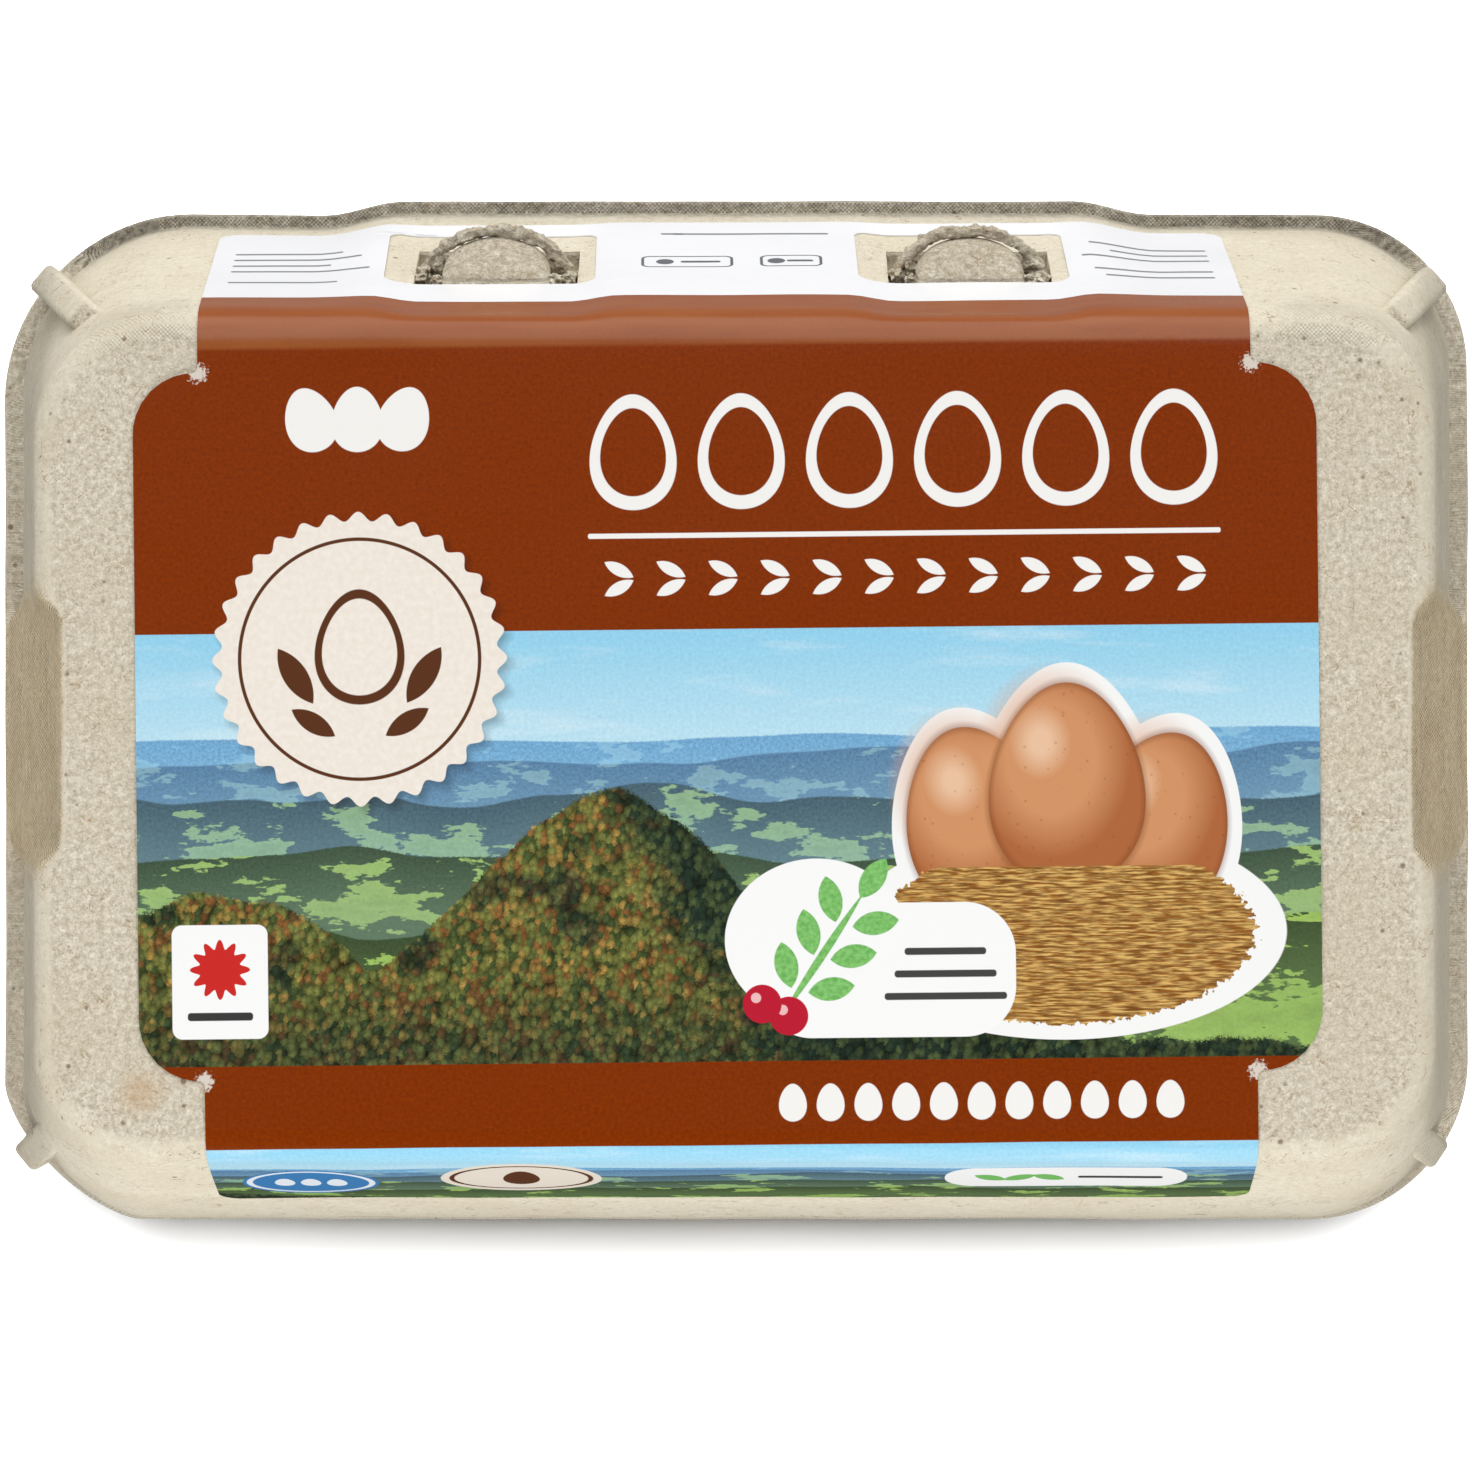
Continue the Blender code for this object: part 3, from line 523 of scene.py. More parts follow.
def inset_level(inset, hinge_inset, height, radius_share=1.0):
    """A level ring that follows the rim at a distance inside it."""
    return Level(
        (RIM_RIGHT - inset, height),
        (RIM_LATCH - inset, height),
        (-RIM_LEFT - inset, height),
        (-RIM_HINGE - hinge_inset, height),
        radius_share,
    )


def seam_and_tray_levels():
    """The seam under the lid's rim, the tray's rim, and the tray down to the valleys between its cups."""
    tray_top = RIM_BOTTOM - SEAM_HEIGHT
    tray_under = tray_top - TRAY_RIM_THICKNESS
    base_inset = TRAY_WALL_INSET + TRAY_WALL_TAPER
    base_hinge_inset = TRAY_HINGE_INSET + TRAY_WALL_TAPER
    return [
        inset_level(SEAM_DEPTH, SEAM_HINGE_DEPTH, RIM_BOTTOM - SEAM_ROUNDING, SEAM_ROUNDNESS),
        inset_level(SEAM_DEPTH, SEAM_HINGE_DEPTH, tray_top + SEAM_ROUNDING, SEAM_ROUNDNESS),
        inset_level(TRAY_RIM_INSET, TRAY_RIM_INSET, tray_top),
        inset_level(TRAY_RIM_INSET, TRAY_RIM_INSET, tray_under),
        inset_level(TRAY_WALL_INSET, TRAY_HINGE_INSET, tray_under - TRAY_STEP, TRAY_TOP_ROUNDNESS),
        inset_level(base_inset, base_hinge_inset, VALLEY_HEIGHT, TRAY_BASE_ROUNDNESS),
    ]


def finished_object(name, mesh):
    """An object from a bmesh, which is freed."""
    bmesh.ops.recalc_face_normals(mesh, faces=mesh.faces)
    data = bpy.data.meshes.new(name)
    mesh.to_mesh(data)
    mesh.free()
    thing = bpy.data.objects.new(name, data)
    bpy.context.scene.collection.objects.link(thing)
    return thing


def skin_tube(mesh, rows):
    """Closes a bmesh's rows of points, one ring behind another, into a solid."""
    mesh.faces.new(rows[0])
    mesh.faces.new(reversed(rows[-1]))
    count = len(rows[0])
    for first, second in zip(rows, rows[1:]):
        for index in range(count):
            following = (index + 1) % count
            mesh.faces.new((first[index], first[following], second[following], second[index]))


def loft(name, rings):
    """A closed solid through rings of equal point counts."""
    mesh = bmesh.new()
    skin_tube(mesh, [[mesh.verts.new(point) for point in ring] for ring in rings])
    return finished_object(name, mesh)


def rounded_square(center, half, radius, height):
    """A ring of points round a square with rounded corners."""
    points = []
    for quadrant, (sign_x, sign_y) in enumerate(((1, 1), (-1, 1), (-1, -1), (1, -1))):
        middle_x = center[0] + sign_x * (half - radius)
        middle_y = center[1] + sign_y * (half - radius)
        for step in range(CUP_CORNER_STEPS + 1):
            angle = math.pi / 2 * (quadrant + step / CUP_CORNER_STEPS)
            points.append(
                Vector((middle_x + radius * math.cos(angle), middle_y + radius * math.sin(angle), height))
            )
    return points


def make_cups():
    """Six tapered cups, each on a flat foot."""
    cups = []
    for column in CUP_COLUMNS:
        for row in CUP_ROWS:
            center = (column * CUP_PITCH_X, CUP_ROWS_MIDDLE + row * CUP_PITCH_Y)
            rings = [
                rounded_square(center, half, radius, height)
                for height, half, radius in reversed(CUP_LEVELS)
            ]
            cups.append(loft("cup", rings))
    return cups


def make_ribs():
    """A rib down each corner of the lid, standing proud of its wall."""
    ribs = []
    for (x, y), degrees in RIBS.values():
        outward = Vector((math.cos(math.radians(degrees)), math.sin(math.radians(degrees)), 0.0))
        across = Vector((-outward.y, outward.x, 0.0))
        inner = -RIB_INNER_INSET
        outline = [
            (inner - RIB_ROOT, RIB_SHOULDER),
            (inner, RIB_SHOULDER),
            (0.0, RIB_KNEE),
            (0.0, WALL_FOOT),
            (-RIB_FOOT_INSET, RIB_FOOT),
            (inner - RIB_ROOT, RIB_FOOT),
        ]
        mesh = bmesh.new()
        faces = []
        for side in (-0.5, 0.5):
            points = [
                Vector((x, y, height)) + outward * reach + across * (RIB_WIDTH * side)
                for reach, height in outline
            ]
            faces.append([mesh.verts.new(point) for point in points])
        mesh.faces.new(faces[0])
        mesh.faces.new(reversed(faces[1]))
        for index, vertex in enumerate(faces[0]):
            following = (index + 1) % len(outline)
            mesh.faces.new((vertex, faces[1][index], faces[1][following], faces[0][following]))
        rib = finished_object("rib", mesh)
        soften = rib.modifiers.new("soft edges", "BEVEL")
        soften.width = RIB_ROUNDING
        soften.segments = 4
        soften.limit_method = "ANGLE"
        ribs.append(rib)
    return ribs


def wall_at(x, height):
    """The latch wall's distance from the middle at x and at a height."""
    for upper, lower in zip(LATCH_PROFILE, LATCH_PROFILE[1:]):
        if lower[1] <= height <= upper[1]:
            share = (upper[1] - height) / (upper[1] - lower[1])
            return blend(upper[0], lower[0], share) + latch_shift(x, height)
    raise ValueError("height outside the latch wall")


def make_noses():
    """The two locking noses: each slopes out to a lip and turns back to the wall under it."""
    noses = []
    for center in LATCH_CENTERS:
        rings = []
        for height, reach, width in NOSE_SECTIONS:
            wall = wall_at(center, height)
            half = NOSE_HALF_WIDTH * width
            ring = [
                Vector((center - half, wall - NOSE_ROOT, height)),
                Vector((center + half, wall - NOSE_ROOT, height)),
            ]
            for step in range(NOSE_STEPS + 1):
                angle = math.pi * step / NOSE_STEPS
                x = center + half * math.cos(angle)
                ring.append(Vector((x, wall + NOSE_REACH * reach * math.sin(angle), height)))
            rings.append(ring)
        noses.append(loft("nose", rings))
    return noses


def make_slot_cutters():
    """A block for each slot in the latch wall, leaning with the wall."""
    cutters = []
    for center in LATCH_CENTERS:
        bpy.ops.mesh.primitive_cube_add(size=1.0)
        block = bpy.context.object
        low, high = wall_at(center, SLOT_BOTTOM), wall_at(center, SLOT_TOP)
        lean = math.atan2(low - high, SLOT_TOP - SLOT_BOTTOM)
        height = (SLOT_TOP - SLOT_BOTTOM) / math.cos(lean)
        for vertex in block.data.vertices:
            vertex.co = (
                vertex.co.x * 2 * SLOT_HALF_WIDTH,
                vertex.co.y * 2 * SLOT_DEPTH,
                vertex.co.z * height,
            )
        block.location = (center, (low + high) / 2, (SLOT_BOTTOM + SLOT_TOP) / 2)
        block.rotation_euler = (lean, 0.0, 0.0)
        cutters.append(block)
    return cutters


def make_post_cutters():
    """The cone under each post that stands where four cups meet."""
    cutters = []
    for column in (-0.5, 0.5):
        bpy.ops.mesh.primitive_cone_add(
            vertices=POST_STEPS,
            radius1=POST_HOLLOW_RADIUS,
            radius2=POST_HOLLOW_TIP_RADIUS,
            depth=POST_HOLLOW_TOP - POST_HOLLOW_START,
        )
        cone = bpy.context.object
        cone.location = (column * CUP_PITCH_X, CUP_ROWS_MIDDLE, (POST_HOLLOW_TOP + POST_HOLLOW_START) / 2)
        cutters.append(cone)
    return cutters


def combined(target, others, operation):
    """Joins other objects to a target, or cuts them from it, and removes them."""
    group = bpy.data.collections.new(operation)
    for other in others:
        group.objects.link(other)
    step = target.modifiers.new(operation, "BOOLEAN")
    step.operation = operation
    step.operand_type = "COLLECTION"
    step.collection = group
    step.solver = "EXACT"
    bpy.context.view_layer.update()
    data = bpy.data.meshes.new_from_object(target.evaluated_get(bpy.context.evaluated_depsgraph_get()))
    target.modifiers.clear()
    target.data = data
    for other in others:
        bpy.data.objects.remove(other)
    bpy.data.collections.remove(group)


def ripple(point):
    """How far an uneven pulp surface stands out at a point, for the pulp and the paper on it alike."""
    off_ground = eased(point[2] / RIPPLE_START)
    return RIPPLE_HEIGHT * off_ground * noise.noise(Vector(point) / RIPPLE_LENGTH)


def make_carton():
    """The moulded piece: shell, slots, post hollows, and then cups, ribs and noses."""
    rings = [level.ring() for level in lid_levels() + seam_and_tray_levels()]
    carton = loft("pulp_carton", rings)
    combined(carton, make_slot_cutters() + make_post_cutters(), "DIFFERENCE")
    lumps = torn_pieces(TORN_LUMPS, 0.5, 0.0)
    combined(carton, make_cups() + make_ribs() + make_noses() + lumps, "UNION")
    combined(carton, torn_pieces(TORN_HOLES, 0.4, 40.0), "DIFFERENCE")
    normals = [vertex.normal.copy() for vertex in carton.data.vertices]
    for vertex, normal in zip(carton.data.vertices, normals):
        vertex.co += normal * ripple(vertex.co)
    return carton


def lump(place, half_sizes, rough, seed):
    """An uneven, roughly egg-shaped piece of torn pulp."""
    mesh = bmesh.new()
    bmesh.ops.create_icosphere(mesh, subdivisions=4, radius=1.0)
    for vertex in mesh.verts:
        shift = noise.noise(vertex.co * 1.3 + Vector((seed, 0.0, 0.0)))
        shift += 0.5 * noise.noise(vertex.co * 3.1 + Vector((0.0, seed, 0.0)))
        around = vertex.co * (1.0 + rough * shift)
        vertex.co = Vector(around[axis] * half_sizes[axis] + place[axis] for axis in range(3))
    return finished_object("lump", mesh)


def torn_pieces(table, rough, seed):
    """Lumps by both latches, from a table of their places beside a latch's middle."""
    pieces = []
    for index, center in enumerate(LATCH_CENTERS):
        for row, (beside, height, outward, half_sizes) in enumerate(table):
            place = (center + beside, wall_at(center, height) + outward, height)
            pieces.append(lump(place, half_sizes, rough, seed + 7.3 * index + 1.7 * row))
    return pieces


def make_torn_lips():
    """The torn lip of the lid that is pushed out over each nose: a rough tube along an arch."""
    lips = []
    for index, center in enumerate(LATCH_CENTERS):
        mesh = bmesh.new()
        path = []
        for step in range(BEAD_STEPS + 1):
            angle = math.pi * step / BEAD_STEPS
            arch = max(math.sin(angle), 0.0)
            height = BEAD_HEIGHT - BEAD_END_DROP * (1.0 - arch)
            x = center + (BEAD_HALF_WIDTH + BEAD_END_SPREAD * (1.0 - arch) ** 3) * math.cos(angle)
            y = wall_at(center, height) + blend(-BEAD_END_SUNK, BEAD_REACH, arch**BEAD_FULLNESS)
            path.append(Vector((x, y, height)))
        rows = []
        for step, point in enumerate(path):
            before, after = path[max(step - 1, 0)], path[min(step + 1, BEAD_STEPS)]
            along = (after - before).normalized()
            across = along.cross(Vector((0.0, 0.0, 1.0))).normalized()
            up = across.cross(along)
            row = []
            for side in range(BEAD_SIDES):
                angle = 2 * math.pi * side / BEAD_SIDES
                direction = across * math.cos(angle) + up * math.sin(angle)
                rough = sum(
                    share * noise.noise(point * scale + direction * spread)
                    for share, scale, spread in BEAD_ROUGHNESS
                )
                row.append(mesh.verts.new(point + direction * BEAD_RADIUS * (1.0 + rough)))
            rows.append(row)
        skin_tube(mesh, rows)
        lips.append(finished_object(f"torn_lip_{index + 1}", mesh))
    return lips


def arc_corner(corner, before, after, radius, steps):
    """Points that round one corner of an outline; before and after are the outline's points beside it."""
    corner, before, after = Vector(corner), Vector(before), Vector(after)
    to_before = (before - corner).normalized()
    to_after = (after - corner).normalized()
    half_turn = to_before.angle(to_after) / 2
    reach = radius / math.tan(half_turn)
    start, end = corner + to_before * reach, corner + to_after * reach
    center = corner + (to_before + to_after).normalized() * (radius / math.sin(half_turn))
    points = []
    for step in range(steps + 1):
        point = start.lerp(end, step / steps) - center
        points.append(center + point.normalized() * radius)
    return points


def rounded_outline(corners):
    """A closed outline through (x, y, radius) corners."""
    points = []
    for index, (x, y, radius) in enumerate(corners):
        before = corners[index - 1][:2]
        after = corners[(index + 1) % len(corners)][:2]
        points += arc_corner((x, y), before, after, radius, LABEL_ARC_STEPS)
    return points


def label_outline():
    """The label's edge, flat, in its own coordinates: u along the long side, v towards the latch side."""
    half_outline = [
        (LABEL_FLAP_HALF, LABEL_END_HINGE, LABEL_FLAP_RADIUS),
        (LABEL_FLAP_HALF, LABEL_WIDE_HINGE, LABEL_NECK_RADIUS),
        (LABEL_WIDE_HALF, LABEL_WIDE_HINGE, LABEL_WIDE_RADIUS),
        (LABEL_WIDE_HALF, LABEL_WIDE_LATCH, LABEL_WIDE_RADIUS),
        (LABEL_FLAP_HALF, LABEL_WIDE_LATCH, LABEL_NECK_RADIUS),
        (LABEL_FLAP_HALF, LABEL_END_LATCH, LABEL_FLAP_RADIUS),
    ]
    return rounded_outline(half_outline + [(-u, v, radius) for u, v, radius in reversed(half_outline)])


def window_outlines():
    """The label's two windows over the latches, in its own coordinates."""
    outlines = []
    for center in LATCH_CENTERS:
        middle_v = (WINDOW_START + WINDOW_END) / 2
        u = center - LABEL_MIDDLE_X + middle_v * math.sin(LABEL_TURN) + WINDOW_SHIFT
        corners = [
            (u - WINDOW_HALF_WIDTH, WINDOW_START, WINDOW_RADIUS),
            (u - WINDOW_HALF_WIDTH, WINDOW_END, WINDOW_RADIUS),
            (u + WINDOW_HALF_WIDTH, WINDOW_END, WINDOW_RADIUS),
            (u + WINDOW_HALF_WIDTH, WINDOW_START, WINDOW_RADIUS),
        ]
        outlines.append(rounded_outline(corners))
    return outlines


def laid_down(u, v):
    """A point of the flat label, turned and moved to where the label lies on the lid."""
    x = LABEL_MIDDLE_X + u * math.cos(LABEL_TURN) - v * math.sin(LABEL_TURN)
    return x, u * math.sin(LABEL_TURN) + v * math.cos(LABEL_TURN)


def picked_up(x, y):
    """The label's own coordinates of a laid-down point."""
    x -= LABEL_MIDDLE_X
    u = x * math.cos(LABEL_TURN) + y * math.sin(LABEL_TURN)
    return u, y * math.cos(LABEL_TURN) - x * math.sin(LABEL_TURN)


def folded(x, along, lift):
    """The place of a laid-down label point once folded over the lid, at a height above the pulp."""
    toward_latch = along > 0
    profile = LATCH_PROFILE if toward_latch else HINGE_PROFILE
    flat_edge = profile[0][0]
    distance = abs(along)
    sign = 1.0 if toward_latch else -1.0
    if distance <= flat_edge:
        place = Vector((x, along, LID_TOP))
        return place + Vector((0.0, 0.0, lift + ripple(place)))
    left = distance - flat_edge
    points = profile[: FOLD_STEPS + WALL_STEPS + 1]
    for index, (upper, lower) in enumerate(zip(points, points[1:])):
        run, drop = lower[0] - upper[0], upper[1] - lower[1]
        length = math.hypot(run, drop)
        if left <= length or index == len(points) - 2:
            share = left / length
            normals = [profile_normal(points, index), profile_normal(points, index + 1)]
            normal = normals[0].lerp(normals[1], share)
            outward, height = upper[0] + run * share, upper[1] - drop * share
            if toward_latch:
                outward += latch_shift(x, height)
            place = Vector((x, sign * outward, height))
            return place + Vector((0.0, sign * normal.x, normal.y)) * (lift + ripple(place))
        left -= length
    raise ValueError("label longer than the wall")


def profile_normal(points, index):
    """The outward normal at a profile point, long enough to keep an even distance past a bend."""
    before = points[max(index - 1, 0)]
    here = points[index]
    after = points[min(index + 1, len(points) - 1)]
    first = Vector((before[1] - here[1], here[0] - before[0])) if index else Vector((0.0, 1.0))
    second = Vector((here[1] - after[1], after[0] - here[0])) if here != after else first
    first.normalize()
    second.normalize()
    middle = (first + second).normalized()
    return middle / max(middle.dot(second), 0.5)


def label_creases():
    """Lines across the flat label where it bends: the places along v of the profiles' points."""
    places = []
    for profile, sign in ((LATCH_PROFILE, 1.0), (HINGE_PROFILE, -1.0)):
        distance = profile[0][0]
        points = profile[: FOLD_STEPS + WALL_STEPS + 1]
        for upper, lower in zip(points, points[1:]):
            places.append(sign * distance)
            distance += math.hypot(lower[0] - upper[0], upper[1] - lower[1])
    return places


def crease(mesh, faces, point, normal):
    """Divides some faces of a bmesh along a plane."""
    edges = {edge for face in faces for edge in face.edges}
    verts = {vert for face in faces for vert in face.verts}
    touched = list(verts) + list(edges) + list(faces)
    bmesh.ops.bisect_plane(mesh, geom=touched, dist=1e-7, plane_co=point, plane_no=normal)


def make_label():
    """The paper label: a flat outline with two windows, thickened, creased and folded over the lid."""
    curve = bpy.data.curves.new("label", "CURVE")
    curve.dimensions = "2D"
    curve.fill_mode = "BOTH"
    curve.extrude = LABEL_THICKNESS / 2
    for outline in [label_outline()] + window_outlines():
        spline = curve.splines.new("POLY")
        spline.points.add(len(outline) - 1)
        spline.use_cyclic_u = True
        for point, (u, v) in zip(spline.points, outline):
            point.co = (*laid_down(u, v), 0.0, 1.0)
    sheet = bpy.data.objects.new("label", curve)
    bpy.context.scene.collection.objects.link(sheet)
    bpy.context.view_layer.update()
    data = bpy.data.meshes.new_from_object(sheet.evaluated_get(bpy.context.evaluated_depsgraph_get()))
    bpy.data.objects.remove(sheet)
    mesh = bmesh.new()
    mesh.from_mesh(data)
    bmesh.ops.remove_doubles(mesh, verts=mesh.verts, dist=1e-7)
    for place in label_creases() + stations(FLAT_LATCH):
        crease(mesh, mesh.faces, (0.0, place, 0.0), (0.0, 1.0, 0.0))
    for x in stations(LABEL_WIDE_HALF):
        crease(mesh, mesh.faces, (x, 0.0, 0.0), (1.0, 0.0, 0.0))
    printed = mesh.verts.layers.float_vector.new(PRINT_PLACE)
    lift = LABEL_LIFT + LABEL_THICKNESS / 2
    for vertex in mesh.verts:
        u, v = picked_up(vertex.co.x, vertex.co.y)
        vertex[printed] = Vector((u, v, 0.0)) * MILLIMETRES
        vertex.co = folded(vertex.co.x, vertex.co.y, lift + vertex.co.z)
    return finished_object("paper_label", mesh)


def make_fibres(pulp, paper):
    """Loose fibres that lie on the pulp, each a thin tube along a wandering path."""
    chance = random.Random(FIBRE_SEED)
    mesh = bmesh.new()
    surface = BVHTree.FromObject(pulp, bpy.context.evaluated_depsgraph_get())
    cover = BVHTree.FromObject(paper, bpy.context.evaluated_depsgraph_get())
    count = 0
    while count < FIBRE_COUNT:
        start = Vector([chance.uniform(*span) for span in FIBRE_REGION])
        place, normal, _, _ = surface.find_nearest(start)
        if cover.find_nearest(place)[3] < FIBRE_CLEARANCE or normal.z < -0.2:
            continue
        count += 1
        heading = chance.uniform(0, 2 * math.pi)
        turning = chance.gauss(0.0, 0.25)
        step_length = chance.uniform(*FIBRE_STEP)
        radius = chance.uniform(*FIBRE_RADIUS)
        rows = []
        for step in range(chance.randint(*FIBRE_STEPS)):
            sideways = normal.orthogonal().normalized()
            forward = sideways * math.cos(heading) + normal.cross(sideways) * math.sin(heading)
            place, normal, _, _ = surface.find_nearest(place + forward * step_length)
            across = normal.cross(forward).normalized()
            lifted = place + normal * radius * 0.5
            row = []
            for angle in FIBRE_SIDES:
                outward = across * math.cos(angle) + normal * math.sin(angle)
                row.append(mesh.verts.new(lifted + outward * radius))
            rows.append(row)
            heading += turning + chance.gauss(0.0, 0.2)
        skin_tube(mesh, rows)
    return finished_object("loose_fibres", mesh)


class Number:
    """A number that varies over a surface. Arithmetic on it adds Math nodes to its node tree."""

    def __init__(self, tree, socket):
        self.tree = tree
        self.socket = socket

    def math(self, operation, *others, clamp=False):
        node = self.tree.nodes.new("ShaderNodeMath")
        node.operation = operation
        node.use_clamp = clamp
        for place, value in zip(node.inputs, (self, *others)):
            if isinstance(value, Number):
                self.tree.links.new(value.socket, place)
            else:
                place.default_value = value
        return Number(self.tree, node.outputs[0])

    def __add__(self, other):
        return self.math("ADD", other)

    def __sub__(self, other):
        return self.math("SUBTRACT", other)

    def __mul__(self, other):
        return self.math("MULTIPLY", other)

    def __truediv__(self, other):
        return self.math("DIVIDE", other)

    def __pow__(self, other):
        return self.math("POWER", other)

    def at_least(self, other):
        return self.math("MAXIMUM", other)

    def at_most(self, other):
        return self.math("MINIMUM", other)

    def size(self):
        return self.math("ABSOLUTE")

    def sine(self):
        return self.math("SINE")

    def within(self, soft):
        """1 where a signed distance is below 0 and 0 above, with an edge of the given width."""
        return self.math("MULTIPLY_ADD", -1.0 / soft, 0.5, clamp=True)

    def ramp(self, low, high):
        """0 below low and 1 above high."""
        return self.math("MULTIPLY_ADD", 1.0 / (high - low), -low / (high - low), clamp=True)


def node_group(work, count):
    """A group of nodes that holds a function of several numbers."""
    tree = bpy.data.node_groups.new(work.__name__, "ShaderNodeTree")
    for index in range(count):
        tree.interface.new_socket(f"number_{index}", in_out="INPUT", socket_type="NodeSocketFloat")
    tree.interface.new_socket("result", in_out="OUTPUT", socket_type="NodeSocketFloat")
    sockets = tree.nodes.new("NodeGroupInput").outputs
    result = work(*[Number(tree, sockets[index]) for index in range(count)])
    tree.links.new(result.socket, tree.nodes.new("NodeGroupOutput").inputs[0])
    return tree


def reflected(red, green, blue):
    """A colour's share of light sent back, from the 8-bit value that it shows under the studio's light."""
    values = []
    for value in (red, green, blue):
        share = value / 255
        linear = share / 12.92 if share <= 0.04045 else ((share + 0.055) / 1.055) ** 2.4
        values.append(linear / BRIGHTNESS)
    return tuple(values)


class Shader:
    """A material's node tree, with short ways to add what the patterns need."""

    def __init__(self, name):
        self.material = bpy.data.materials.new(name)
        self.material.use_nodes = True
        self.tree = self.material.node_tree
        self.surface = self.tree.nodes["Principled BSDF"]

    def node(self, kind, **settings):
        made = self.tree.nodes.new(kind)
        for key, value in settings.items():
            setattr(made, key, value)
        return made

    def fill(self, node, **inputs):
        for key, value in inputs.items():
            socket = node.inputs[key.replace("_", " ")]
            if isinstance(value, Number):
                self.tree.links.new(value.socket, socket)
            elif isinstance(value, bpy.types.NodeSocket):
                self.tree.links.new(value, socket)
            else:
                socket.default_value = value
        return node

    def place(self, name=None):
        """The point's place on the object, or what a named attribute holds there, as a vector socket."""
        if name:
            return self.node("ShaderNodeAttribute", attribute_name=name).outputs["Vector"]
        return self.node("ShaderNodeTexCoord").outputs["Object"]

    def parts(self, vector):
        split = self.fill(self.node("ShaderNodeSeparateXYZ"), Vector=vector)
        return [Number(self.tree, split.outputs[axis]) for axis in range(3)]

    def vector(self, x=0.0, y=0.0, z=0.0):
        joined = self.fill(self.node("ShaderNodeCombineXYZ"), X=x, Y=y, Z=z)
        return joined.outputs["Vector"]

    def noise(self, vector, scale, detail=2.0, roughness=0.5, distortion=0.0):
        """Perlin noise around 0.5."""
        texture = self.fill(
            self.node("ShaderNodeTexNoise"),
            Vector=vector,
            Scale=scale,
            Detail=detail,
            Roughness=roughness,
            Distortion=distortion,
        )
        return Number(self.tree, texture.outputs["Fac"])

    def cells(self, vector, scale, randomness=1.0):
        """Distance from the nearest of scattered points, and a random number for that point."""
        texture = self.fill(
            self.node("ShaderNodeTexVoronoi"), Vector=vector, Scale=scale, Randomness=randomness
        )
        chance = self.fill(self.node("ShaderNodeSeparateColor"), Color=texture.outputs["Color"])
        return (
            Number(self.tree, texture.outputs["Distance"]),
            Number(self.tree, chance.outputs["Red"]),
            Number(self.tree, chance.outputs["Green"]),
        )

    def mix(self, share, first, second):
        """A colour between two, each a socket or an 8-bit colour."""
        mixer = self.node("ShaderNodeMix", data_type="RGBA")
        for index, value in ((0, share), (6, first), (7, second)):
            socket = mixer.inputs[index]
            if isinstance(value, Number):
                self.tree.links.new(value.socket, socket)
            elif isinstance(value, bpy.types.NodeSocket):
                self.tree.links.new(value, socket)
            elif isinstance(value, tuple):
                socket.default_value = (*reflected(*value), 1.0)
            else:
                socket.default_value = value
        return mixer.outputs[2]

    def scaled(self, color, factor):
        """A colour made lighter or darker by a varying factor."""
        scaler = self.node("ShaderNodeVectorMath", operation="SCALE")
        if isinstance(color, tuple):
            scaler.inputs[0].default_value = reflected(*color)
        else:
            self.tree.links.new(color, scaler.inputs[0])
        self.tree.links.new(factor.socket, scaler.inputs["Scale"])
        return scaler.outputs["Vector"]

    def grouped(self, work, *values):
        """What a function makes of some numbers, by a node group that all its uses share."""
        group = bpy.data.node_groups.get(work.__name__) or node_group(work, len(values))
        made = self.node("ShaderNodeGroup", node_tree=group)
        for socket, value in zip(made.inputs, values):
            if isinstance(value, Number):
                self.tree.links.new(value.socket, socket)
            else:
                socket.default_value = value
        return Number(self.tree, made.outputs[0])

    def bump(self, height, distance, strength=1.0):
        """Surface normals for a height in shares of a distance in metres."""
        made = self.fill(self.node("ShaderNodeBump"), Height=height, Distance=distance, Strength=strength)
        self.tree.links.new(made.outputs["Normal"], self.surface.inputs["Normal"])

    def finish(self, color, roughness, specular):
        self.fill(self.surface, Base_Color=color, Roughness=roughness)
        self.surface.inputs["Specular IOR Level"].default_value = specular
        return self.material


